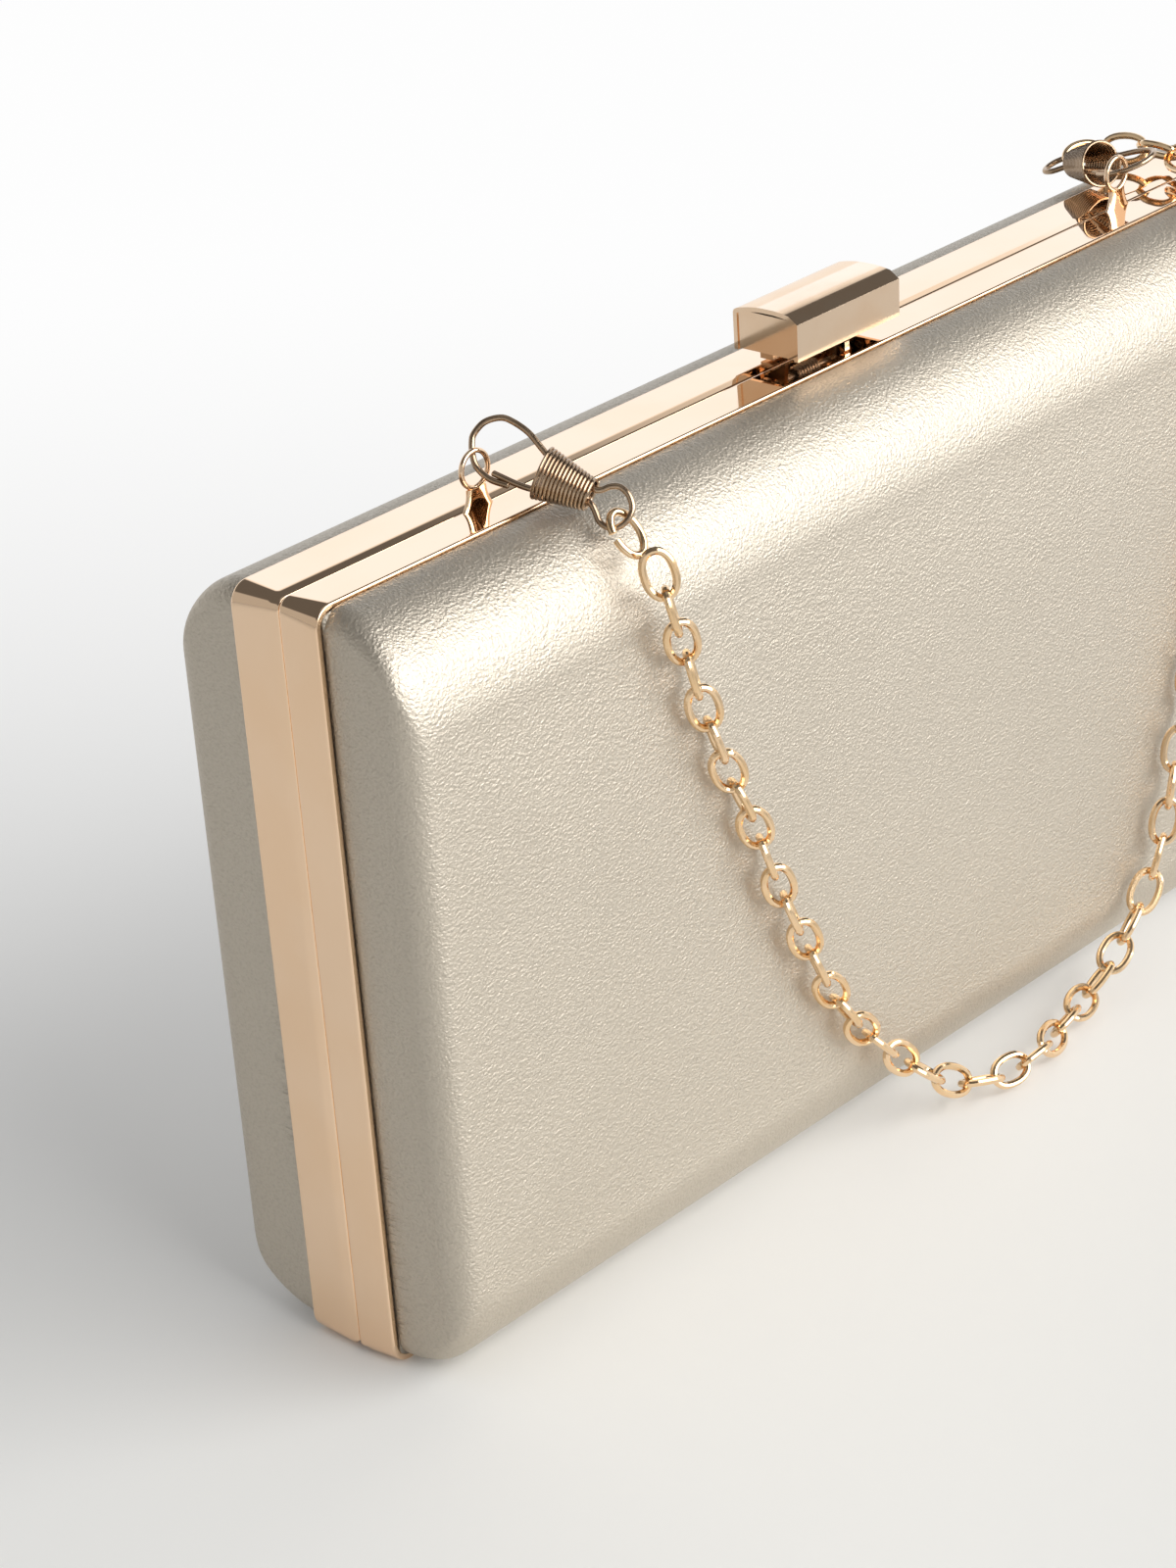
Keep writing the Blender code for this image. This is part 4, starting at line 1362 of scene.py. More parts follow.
@dataclass
class HalfCover(HalfLayer):
    """The leather over one half, turned in behind the rim."""

    thickness: float = 0.75 * MM
    tuck_inset: float = 1.12 * MM
    tuck_depth: float = 0.6 * MM
    inner_tuck: float = 0.12 * MM
    tuck_shares: tuple[float, ...] = (1.0, 1.0, 0.75, 0.4, 0.14)
    tuck_rises: tuple[float, ...] = (0.0, 0.1 * MM, 0.17 * MM, 0.24 * MM)
    turn_power: float = 1.6
    turn_steps: int = 34
    crown_steps: int = 16
    corner_steps: int = 12
    long_steps: int = 59
    short_steps: int = 29

    def rows(self, offset: float, tuck: float) -> tuple[Array, Array]:
        """Work out one surface of the cover from its tuck to the middle of the face.

        In the tuck the contour goes over to the rim's.

        Args:
            offset: Distance under the outer surface.
            tuck: Inset of the turned-in edge.

        Returns:
            Positions in rows, and the distance from the rim of each row.
        """
        case = self.case
        insets, depths, radii = self.form(offset)
        share = np.array(self.tuck_shares)
        tuck_insets = insets[:1] * (1 - share[:, None]) + tuck * share[:, None]
        tuck_depths = np.array((-self.tuck_depth, *self.tuck_rises))
        tuck_radii = radii[0] * (1 - share) + max(case.rim_radius - tuck, case.web_radius) * share
        depths = np.concatenate([tuck_depths, depths + case.seat_gap])
        grid = self.lay(np.vstack([tuck_insets, insets]), depths, np.concatenate([tuck_radii, radii]))
        travel = lengths_along(grid[:, 0])
        return grid, travel - travel[len(share) - 1]

    def spots(self, grid: Array, travel: Array) -> Array:
        """Give every point its length round the rim and distance from it.

        Args:
            grid: Positions in rows.
            travel: Distance from the rim of each row.

        Returns:
            The two lengths of every point.
        """
        around = lengths_along(grid[len(self.tuck_shares)])
        return np.stack(np.broadcast_arrays(around[None], travel[:, None]), axis=-1)

    def build(self) -> bpy.types.Object:
        """Join the outer and inner surfaces into one closed cover.

        Returns:
            The cover's object.
        """
        outer, travel = self.rows(0.0, self.tuck_inset)
        inner, _ = self.rows(self.thickness, self.tuck_inset + self.inner_tuck)
        outer_spots = self.spots(outer, travel)
        grid = np.concatenate([outer[::-1], inner])
        spots = np.concatenate([outer_spots[::-1], outer_spots])
        surface = Surface.from_grid(grid, wrap_columns=True, capped=True, spots=spots)
        return surface.to_object(f"{self.half.word}_cover")

    def dress(self) -> None:
        """Build the cover and stand it for its leather."""
        place_piece(self.build(), self.half.body, Finish.LEATHER, (f"{self.half.word}_leather",))


@dataclass
class HalfLining(HalfLayer):
    """The cloth lining of one half, with soft folds in its corners."""

    outer_offset: float = 2.9 * MM
    thickness: float = 0.7 * MM
    mouth: float = 2.3 * MM
    wall_rows: int = 4
    fold_depth: float = 0.22 * MM
    fold_rate: int = 72
    fold_bearing: float = 45 * DEG
    fold_spread: float = 14 * DEG

    def rows(self, offset: float) -> Array:
        """Work out one surface of the lining from its mouth to the middle.

        The shoulder follows the same form as the leather, and soft folds of
        cosine form run across it in the four corners.

        Args:
            offset: Distance under the leather's outer surface.

        Returns:
            Positions in rows.
        """
        case = self.case
        insets, depths, radii = self.form(offset)
        walls = np.linspace(self.mouth - case.rim_depth(self.half), 0, self.wall_rows + 1)[:-1]
        insets, radii = (
            np.concatenate([np.repeat(rows[:1], self.wall_rows, axis=0), rows]) for rows in (insets, radii)
        )
        grid = self.lay(insets, np.concatenate([walls, depths]), radii)
        x, z = grid[..., 0], grid[..., 2]
        bearing = np.arctan2(np.abs(z - case.height / 2), np.abs(x) - case.length / 2 + case.height / 2)
        corner = np.exp(-(((bearing - self.fold_bearing) / self.fold_spread) ** 2))
        level = np.linspace(0, 1, len(grid))[:, None]
        ripple = np.cos(bearing * self.fold_rate) * np.sin(math.pi * level) ** 2
        lift = self.fold_depth * corner * ripple
        middle = np.array((0.0, 0.0, case.height / 2))
        return grid + unit(middle - grid) * np.maximum(lift, 0)[..., None]

    def build(self) -> bpy.types.Object:
        """Join the two surfaces of the cloth into one closed piece.

        Returns:
            The lining's object.
        """
        outer, inner = (self.rows(self.outer_offset + under) for under in (0.0, self.thickness))
        surface = Surface.from_grid(np.concatenate([outer[::-1], inner]), wrap_columns=True, capped=True)
        return surface.to_object(f"{self.half.word}_lining_cloth")

    def dress(self) -> None:
        """Build the lining and stand it for its node."""
        place_piece(self.build(), self.half.body, Finish.LINING, (f"{self.half.word}_lining",))


@dataclass
class Hinges:
    """The two bottom hinges and the stiff shells, which keep their CAD shapes."""

    def dress(self) -> None:
        """Give each hinge part and shell its finish."""
        for side in Side:
            for kind in ("leaf_front", "leaf_rear"):
                dress_node(f"{side.word}_hinge_{kind}", Finish.HINGE)
            dress_node(f"{side.word}_hinge_pin", Finish.STEEL)
        for half in Half:
            dress_node(f"{half.word}_shell", Finish.BOARD)


# Lugs, hooks and chain


@dataclass
class RingLug:
    """A ring lug on a flaring neck, soldered into the front rim's top."""

    case: CaseShape
    side: Side
    spacing: float = 147 * MM
    depth: float = 0.7 * MM
    ring_height: float = 5.6 * MM
    ring_radius: float = 2.95 * MM
    hole_radius: float = 2.2 * MM
    neck_width: float = 3.7 * MM
    foot_width: float = 5.8 * MM
    anchor: float = 3.4 * MM
    foot_share: float = 0.9
    thickness: float = 0.8 * MM
    neck_thickness_share: float = 0.98
    overlap: float = 0.35 * MM
    flare_power: float = 2.4
    wide_power: float = 0.45
    deep_power: float = 0.8
    ring_steps: int = 96
    section_steps: int = 18
    neck_rows: int = 22
    neck_steps: int = 40

    @property
    def centre(self) -> Array:
        """Middle of the ring."""
        x = self.side.value * self.spacing / 2
        return np.array((x, -self.depth, self.case.height + self.ring_height))

    def neck_half_width(self, down: Array) -> Array:
        """Half width of the neck at a distance under the ring's middle.

        It grows from the neck's to the foot's with a power of the way from the
        ring's lower edge to the rim, and stays at the foot's inside the rim.

        Args:
            down: Distances under the ring's middle.

        Returns:
            One half width per distance.
        """
        share = np.clip((down - self.hole_radius) / (self.ring_height - self.hole_radius), 0, 1)
        flare = (self.foot_width - self.neck_width) * share**self.flare_power
        return (self.neck_width + flare) / 2

    def ring(self) -> Surface:
        """Carry an oval section round the hole: as wide as the ring, as thick as the plate.

        Returns:
            The ring's surface.
        """
        angle = np.linspace(0, 2 * math.pi, self.ring_steps, endpoint=False)[:, None]
        turn = np.linspace(0, 2 * math.pi, self.section_steps, endpoint=False)[None]
        middle, half = (self.ring_radius + self.hole_radius) / 2, (self.ring_radius - self.hole_radius) / 2
        reach = middle + half * np.cos(turn)
        y = np.broadcast_to(self.thickness / 2 * np.sin(turn), (self.ring_steps, self.section_steps))
        grid = np.stack([reach * np.cos(angle), y, reach * np.sin(angle)], axis=-1)
        return Surface.from_grid(grid + self.centre, wrap_rows=True, wrap_columns=True)

    def neck(self) -> Surface:
        """Stack rounded box sections from the ring down to the foot in the rim.

        At angle b a section's point lies across by the half width times cos b and
        through by half the thickness times sin b, each raised to a power below one.

        Returns:
            The neck's surface.
        """
        top = self.hole_radius + self.overlap
        foot = self.ring_height + self.anchor * self.foot_share
        down = np.append(np.linspace(top, self.ring_height, self.neck_rows), foot)
        turn = np.linspace(0, 2 * math.pi, self.neck_steps, endpoint=False)[None]
        x = self.neck_half_width(down)[:, None] * flatten(np.cos(turn), self.wide_power)
        deep = flatten(np.sin(turn), self.deep_power)
        y = np.broadcast_to(self.thickness / 2 * self.neck_thickness_share * deep, x.shape)
        z = np.broadcast_to(-down[:, None], x.shape)
        return Surface.from_grid(np.stack([x, y, z], axis=-1) + self.centre, wrap_columns=True, capped=True)

    def build(self) -> bpy.types.Object:
        """Join the ring and the neck into the lug's object."""
        return self.ring().joined(self.neck()).to_object(f"{self.side.word}_ring_lug")

    def dress(self) -> None:
        """Build the lug and stand it for its node."""
        place_piece(self.build(), Body.FRONT, Finish.RIM, (f"{self.side.word}_lug",))


@dataclass
class WireHook:
    """A bent wire hook in its own plane, with a tapered coil sleeve on its legs."""

    lug: RingLug
    axis_shares: Point
    side_shares: Point
    wire_radius: float = 0.45 * MM
    coil_length: float = 8.0 * MM
    coil_wide: float = 3.85 * MM
    coil_narrow: float = 2.3 * MM
    coil_turns: int = 14
    coil_end_share: float = 0.6
    seat_share: float = 0.3
    path_step: float = 0.35 * MM
    end_round: float = 0.3 * MM
    wire_sides: int = 14
    coil_sides: int = 10
    turn_steps: int = 30
    grip: Span = (-0.995, -0.777)
    outline: tuple[Span, ...] = (
        (-0.400, -0.90),
        (-0.716, -0.96),
        (-0.995, -0.777),
        (-1.150, -0.462),
        (-1.258, -0.049),
        (-1.288, 0.268),
        (-1.209, 0.779),
        (-0.995, 1.150),
        (-0.775, 1.203),
        (-0.450, 1.080),
        (-0.113, 0.753),
        (0.075, 0.587),
        (0.500, 0.390),
        (0.925, 0.255),
        (1.063, 0.312),
        (1.188, 0.571),
        (1.344, 0.694),
        (1.545, 0.540),
        (1.688, 0.156),
        (1.675, -0.338),
        (1.525, -0.727),
        (1.300, -0.727),
        (1.150, -0.468),
        (1.038, -0.286),
        (0.925, -0.255),
        (0.500, -0.390),
        (0.075, -0.620),
        (-0.100, -0.690),
        (-0.295, -0.720),
        (-0.486, -0.720),
        (-0.696, -0.720),
    )

    @property
    def axis(self) -> Array:
        """Direction from the coil's wide end to its narrow end."""
        return unit(np.array(self.axis_shares))

    @property
    def across(self) -> Array:
        """Direction across the coil in the hook's plane."""
        return square_to(np.array(self.side_shares), self.axis)

    @property
    def word(self) -> str:
        """Side of the hook as the nodes spell it."""
        return self.lug.side.word

    def at(self, shares: Array | Span) -> Array:
        """Turn shares of the coil's length and wide radius into positions.

        Args:
            shares: Pairs of shares, one pair or rows of them.

        Returns:
            One position per pair.
        """
        sizes = np.array((self.coil_length, self.coil_wide))
        play = (self.lug.hole_radius - self.wire_radius) * self.seat_share
        seat = self.lug.centre + np.array((play, 0, 0))
        steps = (np.asarray(shares) - np.array(self.grip)) * sizes
        return seat + steps[..., :1] * self.axis + steps[..., 1:] * self.across

    def build_wire(self) -> bpy.types.Object:
        """Carry a circle along the hook's bent outline.

        Returns:
            The wire's object.
        """
        path = curve_through(self.at(np.array(self.outline)), self.path_step)
        normal = np.cross(self.axis, self.across)
        surface = tube(path, self.wire_radius, self.wire_sides, normal, round_ends=self.end_round)
        return surface.to_object(f"{self.word}_hook_bend")

    def build_coil(self) -> bpy.types.Object:
        """Wind the sleeve: a circle carried along a helix on a cone.

        At share s of the winding the helix stands at angle 2 pi turns s, at
        radius wide + (narrow - wide) s and at length s along the axis.

        Returns:
            The coil's object.
        """
        share = np.linspace(0, 1, self.coil_turns * self.turn_steps + 1)[:, None]
        wire = self.coil_length / (self.coil_turns + 1) / 2
        angle = 2 * math.pi * self.coil_turns * share
        normal = np.cross(self.axis, self.across)
        radial = self.across * np.cos(angle) + normal * np.sin(angle)
        radius = self.coil_wide + (self.coil_narrow - self.coil_wide) * share - wire
        start = self.at((0.0, 0.0))
        path = start + self.axis * (wire + (self.coil_length - 2 * wire) * share) + radial * radius
        surface = tube(path, wire, self.coil_sides, radial, round_ends=wire * self.coil_end_share)
        return surface.to_object(f"{self.word}_coil_sleeve")

    def dress(self) -> list[bpy.types.Object]:
        """Build the wire and the coil and stand them for their nodes.

        Returns:
            The two pieces.
        """
        wire = place_piece(self.build_wire(), Body.FRONT, Finish.BRONZE, (f"{self.word}_hook_wire",))
        coil = place_piece(self.build_coil(), Body.FRONT, Finish.BRONZE, (f"{self.word}_hook_coil",))
        return [wire, coil]


@dataclass
class EndRing:
    """An oval ring that joins the chain to a hook's tail eye."""

    hook: WireHook
    hold: Span
    axis_shares: Point
    side_shares: Point
    is_open: bool
    length: float = 7.8 * MM
    width: float = 5.4 * MM
    wire: float = 1.15 * MM
    gap_share: float = 0.05
    gap_middle: float = 0.97 * math.pi
    end_round: float = 0.08 * MM
    seat_gap: float = 0.3 * MM
    stations: int = 73
    sides: int = 16

    def build(self) -> bpy.types.Object:
        """Carry a circle round an oval, or most of the way round an open one.

        Returns:
            The ring's object.
        """
        axis = unit(np.array(self.axis_shares))
        across = square_to(np.array(self.side_shares), axis)
        long, wide = (self.length - self.wire) / 2, (self.width - self.wire) / 2
        hold = self.hook.at(self.hold)
        centre = hold + axis * (long - self.wire / 2 - self.hook.wire_radius - self.seat_gap)
        start = self.gap_middle
        gap = self.gap_share * 2 * math.pi if self.is_open else 0.0
        angle = np.linspace(start + gap / 2, start + 2 * math.pi - gap / 2, self.stations)[:, None]
        angle = angle if self.is_open else angle[:-1]
        path = centre - axis * long * np.sin(angle) + across * wide * np.cos(angle)
        normal = np.cross(axis, across)
        ends = self.end_round if self.is_open else 0.0
        surface = tube(
            path, self.wire / 2, self.sides, normal, closed=not self.is_open, round_ends=ends
        )
        return surface.to_object(f"{self.hook.word}_end_ring")

    def dress(self) -> bpy.types.Object:
        """Build the ring and stand it for its node."""
        return place_piece(self.build(), Body.FRONT, Finish.CHAIN, (f"{self.hook.word}_chain_ring",))


@dataclass
class ChainStrap:
    """A cable chain of oval links along its lying route, given in millimetres."""

    width: float = 5.4 * MM
    wire: float = 1.15 * MM
    link_length: float = 8.15 * MM
    start: float = 1.8 * MM
    pitch: float = 5.92 * MM
    oval_power: float = 2 / 2.25
    stations: int = 28
    sides: int = 10
    wobble: float = 0.16
    wobble_rate: float = 2.4
    line_step: float = 0.5 * MM
    path_stride: int = 6
    facing: Point = (-0.65, -0.63, 0.43)
    route: tuple[Point, ...] = (
        (-64.9, -24.5, 109.2),
        (-63.6, -25.5, 102.6),
        (-60.5, -24.8, 94.7),
        (-57.0, -24.8, 83.6),
        (-52.9, -24.9, 72.6),
        (-48.6, -24.9, 63.2),
        (-44.1, -24.9, 51.9),
        (-39.3, -24.9, 41.5),
        (-34.8, -24.9, 32.0),
        (-29.1, -24.7, 23.5),
        (-24.3, -24.6, 18.1),
        (-17.4, -25.5, 11.1),
        (-11.5, -27.1, 6.3),
        (-5.4, -28.9, 3.6),
        (3.3, -30.4, 3.0),
        (11.7, -29.6, 3.0),
        (18.3, -27.8, 3.0),
        (25.8, -26.3, 3.6),
        (34.5, -25.3, 6.5),
        (42.9, -24.3, 11.6),
        (47.6, -24.5, 17.5),
        (50.3, -24.7, 24.7),
        (52.9, -24.8, 33.2),
        (57.3, -24.9, 45.2),
        (63.4, -24.9, 58.2),
        (70.2, -24.9, 71.2),
        (77.2, -24.8, 84.2),
        (83.2, -24.4, 96.0),
        (86.0, -23.0, 105.2),
        (86.8, -18.8, 112.6),
        (86.6, -12.6, 117.0),
        (88.2, -6.0, 118.3),
        (91.0, 0.0, 118.4),
        (92.2, 5.5, 118.4),
        (90.2, 11.8, 118.1),
    )

    def middle_line(self) -> Array:
        """Closely spaced points of the chain's middle line."""
        return curve_through(np.array(self.route) * MM, self.line_step)

    def link_template(self) -> tuple[Array, Array, Array]:
        """Shape of one oval link about its middle.

        The middle of the wire runs along (a cos t, b sin t) with both cosines and
        sines raised to a power below one, and a circle of the wire's radius is
        carried round it.

        Returns:
            Distances along the link, across it and through it.
        """
        angle = np.linspace(0, 2 * math.pi, self.stations, endpoint=False)
        turn = np.linspace(0, 2 * math.pi, self.sides, endpoint=False)
        long, wide = (self.link_length - self.wire) / 2, (self.width - self.wire) / 2
        along = long * flatten(np.cos(angle), self.oval_power)
        across = wide * flatten(np.sin(angle), self.oval_power)
        slope_along = np.roll(along, -1) - np.roll(along, 1)
        slope_across = np.roll(across, -1) - np.roll(across, 1)
        out = unit(np.stack([slope_across, -slope_along], axis=1))
        radius = self.wire / 2
        along_all = along[:, None] + radius * np.cos(turn) * out[:, :1]
        across_all = across[:, None] + radius * np.cos(turn) * out[:, 1:]
        through = np.broadcast_to(radius * np.sin(turn), along_all.shape)
        return along_all, across_all, through

    def build(self, line: Array) -> bpy.types.Object:
        """Set the links along the line, each turned a quarter from the one before.

        Args:
            line: Points of the chain's middle line.

        Returns:
            The chain's object.
        """
        stops = lengths_along(line)
        count = int(round((stops[-1] - 2 * self.start) / self.pitch)) + 1
        wanted = np.linspace(self.start, stops[-1] - self.start, count)
        places = read_along(line, stops, wanted)
        reach = self.link_length / 2
        fore = read_along(line, stops, np.minimum(wanted + reach, stops[-1]))
        back = read_along(line, stops, np.maximum(wanted - reach, 0))
        tangents = unit(fore - back)
        facing = square_to(np.broadcast_to(np.array(self.facing), tangents.shape), tangents)
        aside = np.cross(tangents, facing)
        wobble = self.wobble * np.sin(np.arange(count) * self.wobble_rate)
        roll = (np.arange(count) % 2) * 90 * DEG + wobble
        normal = facing * np.cos(roll)[:, None] + aside * np.sin(roll)[:, None]
        across = np.cross(normal, tangents)
        grid = places[:, None, None]
        for distance, way in zip(self.link_template(), (tangents, across, normal)):
            grid = grid + distance[None, :, :, None] * way[:, None, None]
        links = [Surface.from_grid(link, wrap_rows=True, wrap_columns=True) for link in grid]
        LOG.info("chain has %d links over %.1f mm", count, stops[-1] / MM)
        return links[0].joined(*links[1:]).to_object("chain_links")

    def dress(self, others: list[bpy.types.Object]) -> None:
        """Args:
            others: The hooks' and rings' pieces that go with it; not used.
        """
        line = self.middle_line()
        piece = place_piece(self.build(line), Body.FRONT, Finish.CHAIN, ("chain",))
        path = line[:: self.path_stride] + PARTING_OFFSET
        path = np.vstack([path, line[-1:] + PARTING_OFFSET])


# Clasp


@dataclass
class LiftClasp:
    """The lifting clasp: a bent sheet block with end plates, over its spring."""

    case: CaseShape
    length: float = 23.5 * MM
    depth: float = 12.1 * MM
    rise: float = 7.1 * MM
    front: float = 6.2 * MM
    clearance: float = 2.1 * MM
    wall: float = 0.7 * MM
    end_recess: float = 0.22 * MM
    pin_back: float = 3.0 * MM
    pin_height: float = 4.6 * MM
    spring_wire: float = 0.5 * MM
    spring_radius: float = 1.15 * MM
    spring_width: float = 4.9 * MM
    spring_turns: int = 8
    spring_steps: int = 26
    spring_sides: int = 9
    spring_end: float = 0.1 * MM
    end_wall: float = 0.6 * MM
    edge_bevel: float = 0.13 * MM
    bevel_steps: int = 3
    bevel_angle: float = 30 * DEG
    front_wall: tuple[Span, ...] = ((0.0165, 0.0), (0.013, 0.2), (0.003, 0.66), (0.0, 0.80))
    rear_wall: tuple[Span, ...] = ((0.975, 0.86), (0.992, 0.80), (0.996, 0.4), (1.0, 0.0))
    dome_start: Span = (0.132, 0.953)
    dome_end: Span = (0.93, 0.90)
    dome_bulge: float = 0.30
    dome_points: int = 15
    end_outline: tuple[Span, ...] = (
        (0.052, 0.03),
        (0.046, 0.30),
        (0.040, 0.78),
        (0.060, 0.845),
        (0.915, 0.865),
        (0.945, 0.78),
        (0.948, 0.03),
    )

    def on_side(self, shares: Array) -> Array:
        """Turn shares of the block's depth and rise into Y and Z.

        Args:
            shares: Pairs of shares in rows.

        Returns:
            One position per pair.
        """
        base = self.case.height + self.clearance
        return np.stack([shares[:, 0] * self.depth - self.front, base + shares[:, 1] * self.rise], axis=1)

    def extrude(self, section: Array, ends: Span) -> Surface:
        """Carry a closed side section from one X to another.

        Args:
            section: Y and Z of the section.
            ends: X of its two ends.

        Returns:
            The closed surface.
        """
        grid = np.zeros((2, len(section), 3))
        grid[..., 0] = np.array(ends)[:, None]
        grid[..., 1:] = section[None]
        return Surface.from_grid(grid, wrap_columns=True, capped=True)

    def section(self) -> Array:
        """Side section of the bent sheet, from its front foot over to its rear foot.

        The flats and the chamfer are straight; the top is the arc of a parabola
        that stands a little proud of the line between its ends.

        Returns:
            Y and Z of the outer surface.
        """
        (start_y, start_z), (end_y, end_z) = self.dome_start, self.dome_end
        share = np.linspace(0, 1, self.dome_points)
        top_y = start_y + (end_y - start_y) * share
        top_z = start_z + (end_z - start_z) * share + self.dome_bulge * share * (1 - share)
        dome = np.stack([top_y, np.minimum(top_z, 1.0)], axis=1)
        return self.on_side(np.vstack([self.front_wall, dome, self.rear_wall]))

    def build_block(self) -> bpy.types.Object:
        """Extrude the sheet's closed section along X and set in the end plates.

        Returns:
            The block's object.
        """
        outer = self.section()
        inner = draw_in(outer, self.wall)
        inner[[0, -1], 1] = outer[[0, -1], 1]
        loop = np.vstack([outer, inner[::-1]])
        half = self.length / 2
        sheet = self.extrude(loop, (-half, half))
        plates = [self.end_plate(side.value * (half - self.end_recess), side.value) for side in Side]
        return sheet.joined(*plates).to_object("clasp_cover")

    def end_plate(self, x: float, side: int) -> Surface:
        """Make an end plate whose straight top leaves a lens-shaped slit under the dome.

        Args:
            x: Place of the plate's outer face.
            side: Sign of the end.

        Returns:
            The plate's surface.
        """
        return self.extrude(self.on_side(np.array(self.end_outline)), (x, x - side * self.end_wall))

    def build_spring(self) -> bpy.types.Object:
        """Wind the lift spring round the pin as a helix of even radius.

        Returns:
            The spring's object.
        """
        share = np.linspace(0, 1, self.spring_turns * self.spring_steps + 1)[:, None]
        angle = 2 * math.pi * self.spring_turns * share
        radial = np.concatenate([np.zeros_like(angle), np.cos(angle), np.sin(angle)], axis=1)
        centre = np.array((0, self.pin_back, self.case.height + self.pin_height))
        axis = np.array((1.0, 0, 0))
        path = centre + radial * self.spring_radius + axis * self.spring_width * (share - 0.5)
        surface = tube(
            path, self.spring_wire / 2, self.spring_sides, radial, round_ends=self.spring_end
        )
        return surface.to_object("lift_spring")

    def dress(self) -> None:
        """Build the block and the spring and dress the rest."""
        block = self.build_block()
        bevel = block.modifiers.new("edge", "BEVEL")
        bevel.width = self.edge_bevel
        bevel.segments = self.bevel_steps
        bevel.limit_method = "ANGLE"
        bevel.angle_limit = self.bevel_angle
        bevel.harden_normals = True
        place_piece(block, Body.CLASP, Finish.CLASP, ("clasp_block",))
        place_piece(self.build_spring(), Body.REAR, Finish.STEEL, ("clasp_spring",))
        for name, finish in (
            ("clasp_base", Finish.HINGE),
            ("clasp_latch", Finish.HINGE),
            ("clasp_pin", Finish.STEEL),
            ("catch_post", Finish.RIM),
        ):
            dress_node(name, finish)


# Studio


class SkyGraph(NodeGraph):
    """Shader nodes of the surroundings, which depend on direction alone."""

    def __init__(self, tree: bpy.types.NodeTree) -> None:
        """Work on one world's node tree."""
        super().__init__(tree)
        self.way = self.add("ShaderNodeTexCoord").outputs["Generated"]

    def level(self, axis: Point, low: float, high: float) -> bpy.types.NodeSocket:
        """Rise smoothly from zero to one over a span of directions.

        Args:
            axis: Direction along which the span is measured.
            low: Share of the axis where the rise starts.
            high: Share of the axis where it ends.

        Returns:
            The risen share.
        """
        return self.remap(self.along(self.way, axis), low, high, 0.0, 1.0)


@dataclass(frozen=True)
class SoftBox:
    """A rectangular lamp.

    Attributes:
        name: Name of the lamp.
        place: Its position.
        size: Its width and height.
        power: Power in watts.
        colour: Colour of its light.
    """

    name: str
    place: Point
    size: Span
    power: float
    colour: Colour


